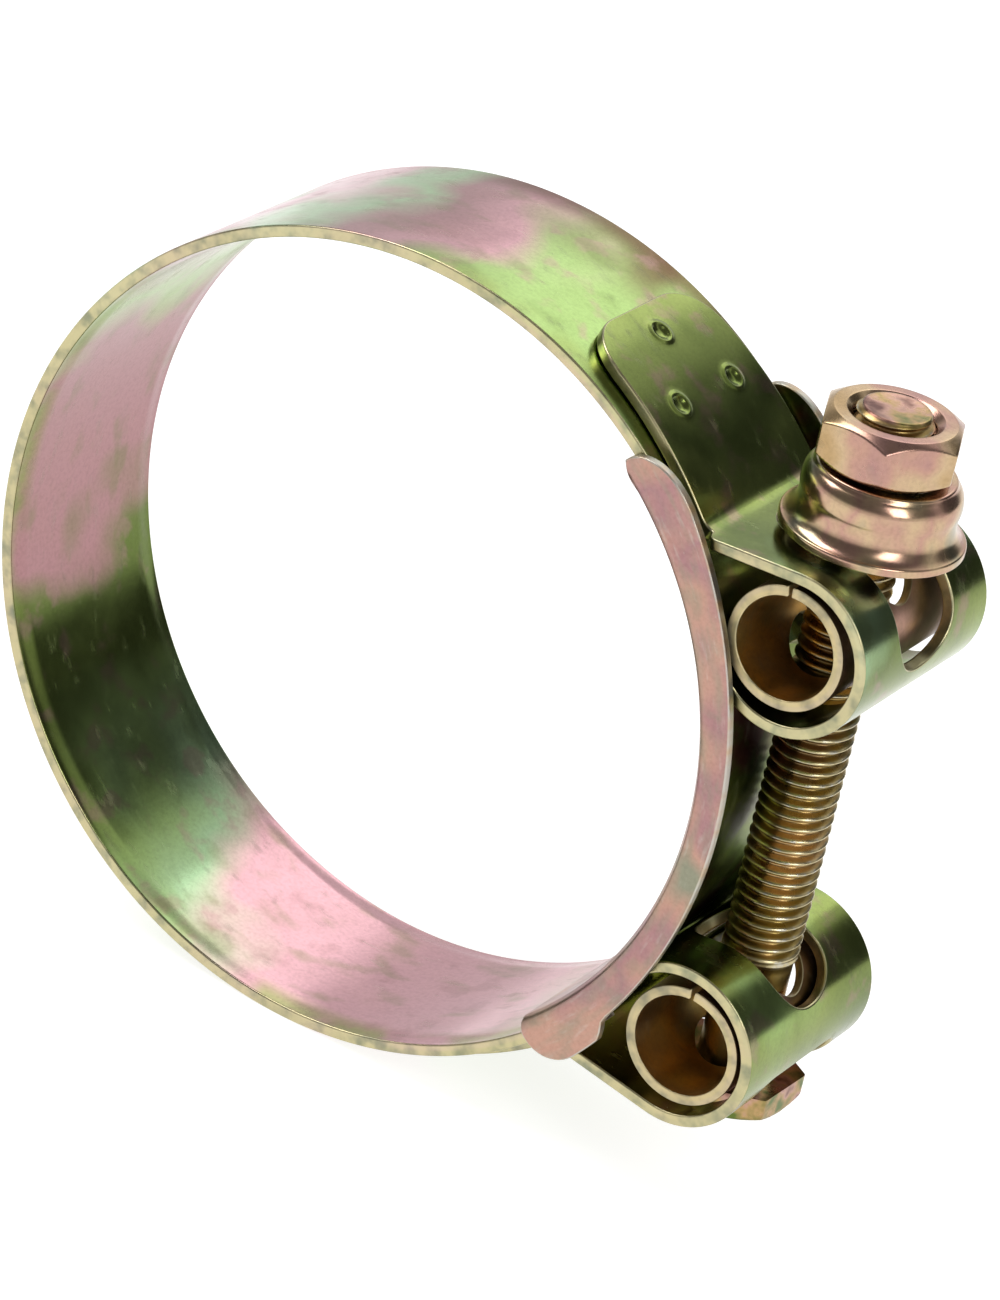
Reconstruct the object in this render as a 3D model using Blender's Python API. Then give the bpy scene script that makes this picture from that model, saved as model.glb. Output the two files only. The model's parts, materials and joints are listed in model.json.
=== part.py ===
"""Heavy-duty hose clamp: a flat band round a hose, closed by one M8 bolt and nut.

Frame: the origin is the centre of the clamped bore, +Y runs along the bore, +Z is
parallel to the bolt towards its nut, and +X points from the bore to the bolt.
Angles in the XZ plane are in degrees from +X towards +Z. Lengths are in metres.
"""
import math

import bmesh
import bpy
from mathutils import Vector

MM = 0.001
SMOOTH_ANGLE = 32.0

# Band: one steel strip, bent round the hose and back round each trunnion.
BAND_WIDTH = 24.0 * MM
BAND_THICKNESS = 1.25 * MM
BORE_RADIUS = 41.4 * MM
LAYER_GAP = 0.15 * MM
FLEX_ANGLE = 92.0
FLEX_SLIT = 0.3 * MM
TAB_CORNER = 5.0 * MM
TAB_LENGTH_ANGLE = 29.0
CREASE_RADIUS = 1.6 * MM
CLINCH_RADIUS = 1.25 * MM
CLINCH_HEIGHT = 0.3 * MM
SLOT_CUTTER_THICKNESS = 2.6 * BAND_THICKNESS
SLOT_CUTTER_STEPS = 48
SLOT_END = 0.05 * MM
CLINCH_TRIANGLE = ((24.4, 0.0), (15.1, -4.9), (15.1, 4.9))

# Bridge: a channel under the band's ends, with its side flanges turned outwards.
BRIDGE_WEB_INNER = 39.85 * MM
BRIDGE_WEB_OUTER = 40.8 * MM
BRIDGE_INSIDE_WIDTH = 24.6 * MM
BRIDGE_THICKNESS = 1.1 * MM
BRIDGE_BEND = 0.8 * MM
BRIDGE_START = -46.6
BRIDGE_END = 52.2
WEB_START = -45.9
WEB_END = 47.0
FLANGE_LOWEST = 43.4 * MM
FLANGE_HIGHEST = 45.1 * MM
FLANGE_LOWEST_ANGLE = -8.0
FLANGE_RISE = 0.00066 * MM
START_ROUNDING = (6.0, 4.4 * MM)
END_ROUNDING = (8.0, 3.8 * MM)
FOOT_LIFT = 1.2 * MM
OVERLAP = 0.05 * MM
LOBE_HEIGHT = 1.3 * MM
LOBE_ANGLE = -33.3
LOBE_RAMP = 3.0
EAR_START = -39.5
EAR_END = -34.8
EAR_HEIGHT = 44.1 * MM
EAR_REACH = 3.8 * MM
EAR_THICKNESS = 1.0 * MM
BRIDGE_STEPS = 60

# Bolt, nut and collar, all on one axis parallel to Z.
BOLT_X = 45.0 * MM
THREAD_RADIUS = 3.85 * MM
SHANK_RADIUS = 3.55 * MM
THREAD_START_Z = -17.0 * MM
BOLT_TIP_Z = 42.6 * MM
TIP_CHAMFER = 0.9 * MM
HEX_FLATS = 13.0 * MM
HEX_CHAMFER_FACE = 0.97 * HEX_FLATS / 2
HEX_CHAMFER_REACH = 1.28 * HEX_FLATS / 2
HEX_CHAMFER_ANGLE = 30.0
HEAD_HEIGHT = 3.0 * MM
NUT_BOTTOM_Z = 36.8 * MM
NUT_HEIGHT = 5.2 * MM
NUT_BORE_RADIUS = 4.2 * MM
NUT_COUNTERSINK = 4.75 * MM
NUT_TURN = -66.3
HEAD_TURN = 28.2
COLLAR_BOTTOM_Z = 29.5 * MM
COLLAR_OUTER = ((9.05, 0.0), (9.05, 0.9), (8.3, 1.3), (7.75, 2.2), (7.6, 3.2), (7.8, 4.2),
                (7.7, 4.9), (7.25, 5.7), (6.7, 6.5), (6.1, 7.0))
COLLAR_INNER = ((4.9, 7.0), (4.9, 6.2), (5.9, 5.6), (6.7, 4.8), (6.7, 2.4), (7.3, 0.7), (7.9, 0.0))
COLLAR_OFFSET = (0.4 * MM, 0.2 * MM)

# Trunnions: short tubes rolled from sheet, with an open seam.
TRUNNION_RADIUS = 6.25 * MM
TRUNNION_WALL = 1.05 * MM
TRUNNION_LENGTH = 24.0 * MM
TRUNNION_SEAM = 0.5 * MM
UPPER_TRUNNION = (45.1 * MM, 20.95 * MM)
LOWER_TRUNNION = (44.7 * MM, -23.6 * MM)
UPPER_SEAM = 98.0
LOWER_SEAM = 91.0
UPPER_HOLE = 5.0 * MM
LOWER_HOLE = 4.4 * MM

RUNNING_GAP = 0.3 * MM

# Each end of the band: where it leaves the ring, how wide its loop is, where its
# returning leg is creased flat onto the ring again, and how wide the tab then is.
UPPER_END = {"side": 1, "seat": 24.25, "loop": 7.8 * MM, "crease": 39.3,
             "tab_width": 21.4 * MM, "tip_width": 19.0 * MM}
LOWER_END = {"side": -1, "seat": 28.5, "loop": 8.0 * MM, "crease": 43.6,
             "tab_width": 16.6 * MM, "tip_width": 15.0 * MM}

RING_MID = BORE_RADIUS + BAND_THICKNESS / 2
TAB_MID = RING_MID + BAND_THICKNESS + LAYER_GAP


def clear_scene():
    for obj in list(bpy.data.objects):
        bpy.data.objects.remove(obj, do_unlink=True)


def plated_steel(name, colour, roughness):
    """Zinc-plated and yellow-passivated steel."""
    material = bpy.data.materials.new(name)
    material.use_nodes = True
    shader = material.node_tree.nodes["Principled BSDF"]
    shader.inputs["Base Color"].default_value = (*colour, 1.0)
    shader.inputs["Roughness"].default_value = roughness
    shader.inputs["Metallic"].default_value = 1.0
    return material


def add_object(name, bm, material=None, pivot=(0.0, 0.0, 0.0)):
    """Makes an object from world-space geometry, with its origin at the pivot."""
    bmesh.ops.recalc_face_normals(bm, faces=bm.faces)
    bmesh.ops.translate(bm, verts=bm.verts, vec=-Vector(pivot))
    mesh = bpy.data.meshes.new(name)
    bm.to_mesh(mesh)
    bm.free()
    mesh.shade_smooth()
    mesh.set_sharp_from_angle(angle=math.radians(SMOOTH_ANGLE))
    if material:
        mesh.materials.append(material)
    obj = bpy.data.objects.new(name, mesh)
    obj.location = pivot
    bpy.context.collection.objects.link(obj)
    return obj


def combine(obj, tool, operation):
    """Joins a hidden helper body to an object, or cuts the object with it."""
    tool.hide_render = True
    tool.display_type = 'WIRE'
    modifier = obj.modifiers.new(tool.name, 'BOOLEAN')
    modifier.operation = operation
    modifier.solver = 'EXACT'
    modifier.object = tool


def polar(radius, angle):
    return Vector((radius * math.cos(math.radians(angle)), radius * math.sin(math.radians(angle))))


def arc(centre, radius, start, end, step):
    """Points (x, z) along an arc, from the start angle to the end angle."""
    count = max(2, round(abs(end - start) / step))
    return [Vector(centre) + polar(radius, start + (end - start) * i / count)
            for i in range(count + 1)]


def lengths_along(path):
    """Distance from the path's start to each of its points."""
    total = [0.0]
    for before, after in zip(path, path[1:]):
        total.append(total[-1] + (after - before).length)
    return total


def point_at(path, lengths, distance):
    """Point on the path at a distance from its start."""
    for index in range(1, len(path)):
        if distance <= lengths[index] or index == len(path) - 1:
            part = (distance - lengths[index - 1]) / (lengths[index] - lengths[index - 1])
            return path[index - 1].lerp(path[index], part)
    return path[-1]


def side_normals(path):
    """Mitred normals of a path, scaled so that both faces stay parallel to it."""
    normals = []
    for index, point in enumerate(path):
        before = path[max(index - 1, 0)]
        after = path[min(index + 1, len(path) - 1)]
        incoming = (point - before).normalized() if index else (after - point).normalized()
        outgoing = (after - point).normalized() if index < len(path) - 1 else incoming
        along = (incoming + outgoing).normalized()
        normal = Vector((-along.y, along.x))
        normals.append(normal / max(along.dot(incoming), 0.5))
    return normals


def loft(sections):
    """A closed body through polygons that all have the same number of corners."""
    bm = bmesh.new()
    rings = [[bm.verts.new(corner) for corner in section] for section in sections]
    corners = len(rings[0])
    for lower, upper in zip(rings, rings[1:]):
        for i in range(corners):
            j = (i + 1) % corners
            bm.faces.new((lower[i], lower[j], upper[j], upper[i]))
    bm.faces.new(reversed(rings[0]))
    bm.faces.new(rings[-1])
    return bm


def strip(path, half_widths, thickness):
    """A strip of sheet that follows a path in the XZ plane."""
    sections = []
    for point, normal, half in zip(path, side_normals(path), half_widths):
        inner = point - normal * thickness / 2
        outer = point + normal * thickness / 2
        sections.append([(inner.x, -half, inner.y), (outer.x, -half, outer.y),
                         (outer.x, half, outer.y), (inner.x, half, inner.y)])
    return loft(sections)


def cylinder(radius, start, end, segments=40):
    """A closed cylinder between two points."""
    bm = bmesh.new()
    axis = Vector(end) - Vector(start)
    turn = axis.to_track_quat('Z', 'Y').to_matrix().to_4x4()
    turn.translation = (Vector(start) + Vector(end)) / 2
    bmesh.ops.create_cone(bm, cap_ends=True, segments=segments, radius1=radius,
                          radius2=radius, depth=axis.length, matrix=turn)
    return bm


def turned(profile, centre, segments=48):
    """A body turned about a vertical axis from a closed outline of (radius, z) points."""
    bm = bmesh.new()
    rings = []
    for i in range(segments):
        turn = 2 * math.pi * i / segments
        rings.append([bm.verts.new((centre[0] + r * math.cos(turn),
                                    centre[1] + r * math.sin(turn), z)) for r, z in profile])
    for i, ring in enumerate(rings):
        following = rings[(i + 1) % segments]
        for j in range(len(profile)):
            k = (j + 1) % len(profile)
            bm.faces.new((ring[j], following[j], following[k], ring[k]))
    return bm


def revolved_solid(outline, segments=48):
    """A solid on the bolt's axis, from (radius, z) points between its two end centres."""
    bm = bmesh.new()
    bottom = bm.verts.new((BOLT_X, 0.0, outline[0][1]))
    top = bm.verts.new((BOLT_X, 0.0, outline[-1][1]))
    rings = []
    for radius, z in outline:
        rings.append([bm.verts.new((BOLT_X + radius * math.cos(2 * math.pi * i / segments),
                                    radius * math.sin(2 * math.pi * i / segments), z))
                      for i in range(segments)])
    for i in range(segments):
        j = (i + 1) % segments
        bm.faces.new((bottom, rings[0][j], rings[0][i]))
        bm.faces.new((top, rings[-1][i], rings[-1][j]))
        for lower, upper in zip(rings, rings[1:]):
            bm.faces.new((lower[i], lower[j], upper[j], upper[i]))
    return bm


def hexagon(bottom, top, turn):
    """A hexagonal prism on the bolt's axis, with one corner at the turn angle."""
    corners = [polar(HEX_FLATS / math.sqrt(3), turn + 60 * i) for i in range(6)]
    return loft([[(BOLT_X + corner.x, corner.y, z) for corner in corners]
                 for z in (bottom, top)])


def chamfer_solid(bottom, top, chamfer_top):
    """What a hexagon keeps when its corners are turned off."""
    wide = HEX_CHAMFER_REACH
    flat = HEX_CHAMFER_FACE
    rise = (wide - flat) * math.tan(math.radians(HEX_CHAMFER_ANGLE))
    outline = [(flat, bottom), (wide, bottom + rise), (wide, top)]
    if chamfer_top:
        outline[-1:] = [(wide, top - rise), (flat, top)]
    return revolved_solid(outline)


def rounded_corner(before, corner, after, steps=6):
    """A smooth bend between two points of a path, towards the corner between them."""
    bend = []
    for i in range(steps + 1):
        t = i / steps
        bend.append(before * (1 - t) ** 2 + corner * 2 * t * (1 - t) + after * t * t)
    return bend


def band_end_path(end):
    """Mid-line of one end of the band, from the flex line to the tab's tip.

    It follows the ring, turns round the trunnion in a loop that touches the ring from
    outside, runs straight back and is creased flat onto the ring as a tab.
    """
    slit_angle = math.degrees(FLEX_SLIT / 2 / RING_MID)
    ring = arc((0, 0), RING_MID, FLEX_ANGLE - slit_angle, end["seat"], 2.5)
    centre = polar(RING_MID + end["loop"], end["seat"])
    crease = polar(TAB_MID, end["crease"])
    to_centre = centre - crease
    lean = math.asin(end["loop"] / to_centre.length)
    leave = math.degrees(math.atan2(to_centre.y, to_centre.x) + lean) + 90
    loop = arc(centre, end["loop"], end["seat"] - 180, leave, 7.5)
    bend_angle = math.degrees(CREASE_RADIUS / TAB_MID)
    bend_start = crease + (loop[-1] - crease).normalized() * CREASE_RADIUS
    bend_end = polar(TAB_MID, end["crease"] + bend_angle)
    tip = end["crease"] + TAB_LENGTH_ANGLE
    tab = arc((0, 0), TAB_MID, end["crease"] + bend_angle, tip, 2.0)
    tab[-1:] = arc((0, 0), TAB_MID, tip - 2.0, tip, 0.25)[1:]
    path = ring + loop[1:] + rounded_corner(bend_start, crease, bend_end) + tab[1:]
    sided = [Vector((point.x, point.y * end["side"])) for point in path]
    marks = lengths_along(sided)
    loop_start = marks[len(ring) - 1]
    stations = {
        "loop_start": loop_start,
        "leg_start": marks[len(ring) + len(loop) - 2],
        "crease": marks[len(ring) + len(loop) + 2],
        "tip": marks[-1],
    }
    return sided, marks, stations


def tab_half_width(distance, stations, end):
    """Half the strip's width: full as far as the crease, then a tapering, rounded tab."""
    past_crease = distance - stations["crease"]
    to_tip = stations["tip"] - distance
    if past_crease < -CREASE_RADIUS:
        return BAND_WIDTH / 2
    if past_crease < 0:
        part = 1 + past_crease / CREASE_RADIUS
        return (BAND_WIDTH + (end["tab_width"] - BAND_WIDTH) * part) / 2
    part = past_crease / (stations["tip"] - stations["crease"])
    half = (end["tab_width"] + (end["tip_width"] - end["tab_width"]) * part) / 2
    if to_tip < TAB_CORNER:
        cut = 1 - to_tip / TAB_CORNER
        half -= TAB_CORNER * (1 - math.sqrt(1 - cut * cut))
    return half


def slot_cutter(name, path, marks, start, end, half_width, corner):
    """A cutter that follows the strip and leaves a slot with rounded corners."""
    distances = [start + (end - start) * i / SLOT_CUTTER_STEPS
                 for i in range(SLOT_CUTTER_STEPS + 1)]
    points = [point_at(path, marks, distance) for distance in distances]
    half_widths = []
    for distance in distances:
        to_end = max(min(distance - start, end - distance), SLOT_END)
        cut = max(1 - to_end / corner, 0.0)
        half_widths.append(half_width - corner * (1 - math.sqrt(1 - cut * cut)))
    return add_object(name, strip(points, half_widths, SLOT_CUTTER_THICKNESS))


def band_end(name, end, material, pivot, slots):
    """One end of the band with its loop, its slots and its clinched tab."""
    path, marks, stations = band_end_path(end)
    half_widths = [tab_half_width(distance, stations, end) for distance in marks]
    obj = add_object(name, strip(path, half_widths, BAND_THICKNESS), material, pivot)
    for index, (past_crease, across) in enumerate(CLINCH_TRIANGLE):
        angle = end["side"] * (end["crease"] + past_crease)
        inside = polar(BORE_RADIUS + BAND_THICKNESS / 2, angle)
        outside = polar(TAB_MID + BAND_THICKNESS / 2 + CLINCH_HEIGHT, angle)
        y = across * MM
        button = cylinder(CLINCH_RADIUS, (inside.x, y, inside.y), (outside.x, y, outside.y), 20)
        combine(obj, add_object(f"{name}_clinch_{index}", button), 'UNION')
    for index, slot in enumerate(slots):
        start = slot["from"](stations, end)
        stop = slot["to"](stations, end)
        cutter = slot_cutter(f"{name}_slot_{index}", path, marks, start, stop,
                             slot["half_width"], slot["corner"])
        combine(obj, cutter, 'DIFFERENCE')
    return obj


def loop_at(angle):
    """Station on the loop where it faces a world angle, seen with its tab side up."""
    def station(stations, end):
        turned_by = math.radians(angle - (end["seat"] - 180))
        return stations["loop_start"] + turned_by * end["loop"]
    return station


def leg_at(x):
    """Station on the straight leg at a given X."""
    def station(stations, end):
        path, marks, _ = band_end_path(end)
        leg_start = point_at(path, marks, stations["leg_start"])
        return stations["leg_start"] + (leg_start.x - x)
    return station


def build_band(steel):
    """The ring in three stiff lengths, which meet where the strip flexes."""
    slit_angle = math.degrees(FLEX_SLIT / 2 / RING_MID)
    back = arc((0, 0), RING_MID, FLEX_ANGLE + slit_angle, 360 - FLEX_ANGLE - slit_angle, 2.5)
    lower_flex = polar(RING_MID, -FLEX_ANGLE)
    upper_flex = polar(RING_MID, FLEX_ANGLE)
    half_widths = [BAND_WIDTH / 2] * len(back)
    add_object("band_back", strip(back, half_widths, BAND_THICKNESS), steel,
               (lower_flex.x, 0.0, lower_flex.y))
    upper_slots = [
        {"from": loop_at(-134), "to": loop_at(-42), "half_width": 5.0 * MM, "corner": 5.0 * MM},
        {"from": loop_at(-12), "to": leg_at(36.3 * MM), "half_width": 5.3 * MM,
         "corner": 5.3 * MM},
    ]
    band_end("band_upper_end", UPPER_END, steel, (upper_flex.x, 0.0, upper_flex.y), upper_slots)
    lower_slots = [
        {"from": loop_at(-130), "to": loop_at(-25), "half_width": 5.0 * MM, "corner": 5.0 * MM},
        {"from": loop_at(18), "to": leg_at(36.5 * MM), "half_width": 8.0 * MM,
         "corner": 3.0 * MM},
    ]
    band_end("band_lower_end", LOWER_END, steel, (0.0, 0.0, 0.0), lower_slots)


def round_off(angle, end, corner):
    """How far a rounded corner has come down at an angle: 0 at its start, 1 at the end."""
    part = max(1 - abs(end - angle) / corner, 0.0)
    return 1 - math.sqrt(1 - part * part)


def flange_height(angle):
    """Outer radius of the side flanges.

    They are lowest near the middle, they carry a lobe over the ear near the lower end,
    and both of their ends are rounded down to the web.
    """
    rise = FLANGE_RISE * (angle - FLANGE_LOWEST_ANGLE) ** 2
    height = min(FLANGE_LOWEST + rise, FLANGE_HIGHEST)
    climb = min(max((LOBE_ANGLE - angle) / LOBE_RAMP, 0.0), 1.0)
    height += LOBE_HEIGHT * climb * climb * (3 - 2 * climb)
    for end, (corner, drop) in ((BRIDGE_START, START_ROUNDING), (BRIDGE_END, END_ROUNDING)):
        height -= round_off(angle, end, corner) * drop
    return height


def flange_foot(angle):
    """Inner radius of the flanges, which curve away from the bore at the upper tip."""
    past_web = max((angle - WEB_END) / (BRIDGE_END - WEB_END), 0.0)
    return BRIDGE_WEB_INNER - OVERLAP + past_web ** 2 * FOOT_LIFT


def bridge_flange(side):
    """One side flange, with the outside of its bend eased off."""
    inside = side * BRIDGE_INSIDE_WIDTH / 2
    outside = inside + side * BRIDGE_THICKNESS
    middle = (BRIDGE_START + BRIDGE_END) / 2
    reach = (BRIDGE_END - BRIDGE_START) / 2
    sections = []
    for i in range(BRIDGE_STEPS + 1):
        angle = middle - reach * math.cos(math.pi * i / BRIDGE_STEPS)
        foot = flange_foot(angle)
        outline = ((foot, inside), (flange_height(angle), inside), (flange_height(angle), outside),
                   (foot + BRIDGE_BEND, outside), (foot, outside - side * BRIDGE_BEND))
        sections.append([(polar(r, angle).x, y, polar(r, angle).y) for r, y in outline])
    return loft(sections)


def bridge_strip(radius, start, end, step, half_width, thickness, y=0.0):
    """A strip of the bridge's sheet, bent to a radius about the bore."""
    path = arc((0, 0), radius, start, end, step)
    bm = strip(path, [half_width] * len(path), thickness)
    bmesh.ops.translate(bm, verts=bm.verts, vec=(0.0, y, 0.0))
    return bm


def build_bridge(steel):
    """The channel that carries the band's ends across the gap in the ring."""
    bridge = add_object("bridge", bridge_flange(-1), steel)
    inside = BRIDGE_INSIDE_WIDTH / 2
    web = bridge_strip((BRIDGE_WEB_INNER + BRIDGE_WEB_OUTER) / 2, WEB_START, WEB_END, 1.7,
                       inside + 2 * OVERLAP, BRIDGE_WEB_OUTER - BRIDGE_WEB_INNER)
    combine(bridge, add_object("bridge_web", web), 'UNION')
    combine(bridge, add_object("bridge_far_flange", bridge_flange(1)), 'UNION')
    for side in (-1, 1):
        y = side * (inside + BRIDGE_THICKNESS / 2 - EAR_REACH / 2)
        ear = bridge_strip(EAR_HEIGHT - EAR_THICKNESS / 2, EAR_START, EAR_END, 0.8,
                           EAR_REACH / 2, EAR_THICKNESS, y)
        combine(bridge, add_object(f"bridge_ear_{side}", ear), 'UNION')


def build_trunnion(name, centre, seam_angle, hole_radius, steel):
    """A tube rolled from sheet, with an open seam and a cross hole for the bolt."""
    x, z = centre
    half_seam = math.degrees(TRUNNION_SEAM / 2 / TRUNNION_RADIUS)
    mid = TRUNNION_RADIUS - TRUNNION_WALL / 2
    path = arc(centre, mid, seam_angle + half_seam, seam_angle + 360 - half_seam, 9.0)
    half_widths = [TRUNNION_LENGTH / 2] * len(path)
    tube = add_object(name, strip(path, half_widths, TRUNNION_WALL), steel, (x, 0.0, z))
    reach = 2 * TRUNNION_RADIUS
    hole = cylinder(hole_radius, (BOLT_X, 0.0, z - reach), (BOLT_X, 0.0, z + reach), 36)
    combine(tube, add_object(f"{name}_hole", hole), 'DIFFERENCE')


def build_bolt(steel):
    """The bolt: a hexagon head, a plain shank and the threaded length with its point."""
    head_top = LOWER_TRUNNION[1] - TRUNNION_RADIUS - RUNNING_GAP
    head_bottom = head_top - HEAD_HEIGHT
    pivot = (LOWER_TRUNNION[0], 0.0, LOWER_TRUNNION[1])
    bolt = add_object("bolt", hexagon(head_bottom, head_top, HEAD_TURN), steel, pivot)
    keep = add_object("bolt_head_chamfer", chamfer_solid(head_bottom, head_top, False))
    combine(bolt, keep, 'INTERSECT')
    taper = THREAD_RADIUS - SHANK_RADIUS
    stem = [(SHANK_RADIUS, head_top - HEAD_HEIGHT / 2), (SHANK_RADIUS, THREAD_START_Z - taper),
            (THREAD_RADIUS, THREAD_START_Z), (THREAD_RADIUS, BOLT_TIP_Z - TIP_CHAMFER),
            (THREAD_RADIUS - TIP_CHAMFER, BOLT_TIP_Z)]
    combine(bolt, add_object("bolt_stem", revolved_solid(stem)), 'UNION')


def build_nut(steel):
    """The nut, chamfered on both faces, with a wide countersink on its upper face."""
    top = NUT_BOTTOM_Z + NUT_HEIGHT
    pivot = (BOLT_X, 0.0, NUT_BOTTOM_Z)
    nut = add_object("nut", hexagon(NUT_BOTTOM_Z, top, NUT_TURN), steel, pivot)
    keep = add_object("nut_chamfer", chamfer_solid(NUT_BOTTOM_Z, top, True))
    combine(nut, keep, 'INTERSECT')
    depth = NUT_COUNTERSINK - NUT_BORE_RADIUS
    bore = [(NUT_BORE_RADIUS, NUT_BOTTOM_Z - MM), (NUT_BORE_RADIUS, top - depth),
            (NUT_COUNTERSINK, top), (NUT_COUNTERSINK, top + MM)]
    combine(nut, add_object("nut_bore", revolved_solid(bore)), 'DIFFERENCE')


def build_collar(steel):
    """The bell-shaped pressed washer that spreads the nut's load over the slot."""
    outline = [(radius * MM, COLLAR_BOTTOM_Z + height * MM)
               for radius, height in COLLAR_OUTER + COLLAR_INNER]
    centre = (BOLT_X + COLLAR_OFFSET[0], COLLAR_OFFSET[1])
    add_object("collar", turned(outline, centre), steel, (*centre, COLLAR_BOTTOM_Z))


def build_clamp():
    clear_scene()
    band_steel = plated_steel("band_steel", (0.42, 0.45, 0.22), 0.25)
    bridge_steel = plated_steel("bridge_steel", (0.62, 0.47, 0.40), 0.32)
    tube_steel = plated_steel("tube_steel", (0.45, 0.33, 0.16), 0.30)
    bolt_steel = plated_steel("bolt_steel", (0.52, 0.41, 0.28), 0.35)
    nut_steel = plated_steel("nut_steel", (0.66, 0.50, 0.40), 0.30)
    build_band(band_steel)
    build_bridge(bridge_steel)
    build_trunnion("upper_trunnion", UPPER_TRUNNION, UPPER_SEAM, UPPER_HOLE, tube_steel)
    build_trunnion("lower_trunnion", LOWER_TRUNNION, LOWER_SEAM, LOWER_HOLE, tube_steel)
    build_bolt(bolt_steel)
    build_nut(nut_steel)
    build_collar(nut_steel)


build_clamp()
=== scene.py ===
"""Looks of the heavy-duty hose clamp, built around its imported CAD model.

Lengths are in millimetres until a mesh is written, in the frame of the CAD model: the
origin is the centre of the bore, +Y runs along the bore, +Z is parallel to the bolt
towards its nut, and +X points from the bore to the bolt. Angles in the XZ plane are in
degrees from +X towards +Z.
"""
import json
import math

import bpy
import numpy as np
from mathutils import Matrix, Vector
from mathutils.geometry import delaunay_2d_cdt


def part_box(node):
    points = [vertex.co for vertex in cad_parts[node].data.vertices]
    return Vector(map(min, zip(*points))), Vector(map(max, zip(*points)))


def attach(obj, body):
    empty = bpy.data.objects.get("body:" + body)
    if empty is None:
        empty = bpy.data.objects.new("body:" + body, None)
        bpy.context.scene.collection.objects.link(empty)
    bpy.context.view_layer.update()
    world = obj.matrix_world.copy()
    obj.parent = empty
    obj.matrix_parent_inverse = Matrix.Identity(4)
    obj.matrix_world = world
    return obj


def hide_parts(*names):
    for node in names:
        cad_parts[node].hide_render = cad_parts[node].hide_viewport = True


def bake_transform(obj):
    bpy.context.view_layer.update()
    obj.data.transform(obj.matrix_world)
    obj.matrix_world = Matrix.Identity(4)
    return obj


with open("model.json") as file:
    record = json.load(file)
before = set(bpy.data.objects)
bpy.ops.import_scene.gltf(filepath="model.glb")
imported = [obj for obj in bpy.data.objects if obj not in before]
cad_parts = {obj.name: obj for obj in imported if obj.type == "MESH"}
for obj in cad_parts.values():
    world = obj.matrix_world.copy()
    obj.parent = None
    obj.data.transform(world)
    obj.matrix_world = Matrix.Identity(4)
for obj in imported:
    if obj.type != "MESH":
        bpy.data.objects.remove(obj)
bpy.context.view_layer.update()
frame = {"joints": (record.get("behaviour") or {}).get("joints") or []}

MM = 0.001


def node_box(node):
    """Lowest and highest corner of a CAD node, in millimetres."""
    lowest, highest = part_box(node)
    return lowest / MM, highest / MM


def joint_place(name):
    """Where a joint's axis is, in millimetres."""
    found = next(joint for joint in frame["joints"] if joint["name"] == name)
    return Vector(found["pos_m"]) / MM


# Sizes that the frame gives.
BACK_LOW, BACK_HIGH = node_box("band_back")
HALF_WIDTH = BACK_HIGH.y
OUTER_RADIUS = -BACK_LOW.x
LOWER_TUBE_LOW, LOWER_TUBE_HIGH = node_box("lower_trunnion")
BOLT_LOW, BOLT_HIGH = node_box("bolt")
NUT_LOW, NUT_HIGH = node_box("nut")
COLLAR_LOW, COLLAR_HIGH = node_box("collar")
BRIDGE_HALF = node_box("bridge")[1].y
UPPER_PIN = joint_place("upper_pin_turn")
LOWER_PIN = joint_place("bolt_swing")
BOLT_X = joint_place("nut_spin").x

# Band.
BAND_THICKNESS = 1.25
RING_MID = OUTER_RADIUS - BAND_THICKNESS / 2
TAB_MID = RING_MID + BAND_THICKNESS + 0.15
FLEX_ANGLE = 92.0
TAB_LENGTH_ANGLE = 29.0
CREASE_RADIUS = 1.6
BEND_EASE = 0.5
SHOULDER_SETBACK = 0.9
SHOULDER_RADIUS = 1.2
TAB_CORNER = 5.0
CUT_ROUNDING = 0.24
INNER_CROWN = 0.22
CROWN_RUN = 2.6
CROWN_FADE = (9.0, 1.0)
CLINCH_RIM = {"height": 0.13, "radius": 1.15, "width": 0.3}
CLINCH_BOWL = {"depth": 0.28, "radius": 0.75}
CLINCH_REACH = 3.0
RING_STEP = 0.8
CLINCH_RINGS = (0.3, 0.6, 0.85, 1.05, 1.25, 1.45, 1.7, 2.1)
LEAD_ANGLE = 1.0
TAB_SHORT = 0.1
# Degrees past the crease and y of each clinch.
CLINCHES = ((24.4, 0.0), (15.1, -4.9), (15.1, 4.9))
# The loop stands on the ring at the seat angle, with the radius "loop" at mid-sheet, and the
# leg from it meets the ring again at the crease angle. "tab" and "tip" are half widths.
UPPER_END = {"side": 1, "seat": 24.25, "loop": 7.8, "crease": 39.3, "tab": 10.7, "tip": 9.5}
LOWER_END = {"side": -1, "seat": 28.5, "loop": 8.0, "crease": 43.6, "tab": 8.3, "tip": 7.5}

# Bridge.
WEB_MID = 40.325
BRIDGE_START, BRIDGE_END = -46.6, 52.2
WEB_START, WEB_END = -45.9, 47.0
BRIDGE_SHEET = 1.0
BRIDGE_BEND = 1.05
BRIDGE_EDGE = 0.2
FLANGE_Y = BRIDGE_HALF - BRIDGE_SHEET / 2
WEB_HALF = FLANGE_Y - BRIDGE_BEND
FLANGE_LOWEST = 43.4
FLANGE_HIGHEST = 45.1
FLANGE_LOWEST_ANGLE = -8.0
FLANGE_RISE = 0.00066
FOOT_LIFT = 1.3
FOOT_START, FOOT_END = 33.3, 36.3
START_ROUNDING = {"corner": 6.0, "drop": 4.4}
END_ROUNDING = {"corner": 8.0, "drop": 3.8}
FLARE_POWER = 1.5
FLARE_SHORT = 0.12
EAR_MID = 43.62
EAR_ROOT = 41.9
EAR_KNEE = 0.9
EAR_TIP_Y = 9.6
EAR_START, EAR_END = -39.5, -34.8
EAR_SHEET = 0.9
EAR_EDGE = 0.15
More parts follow.
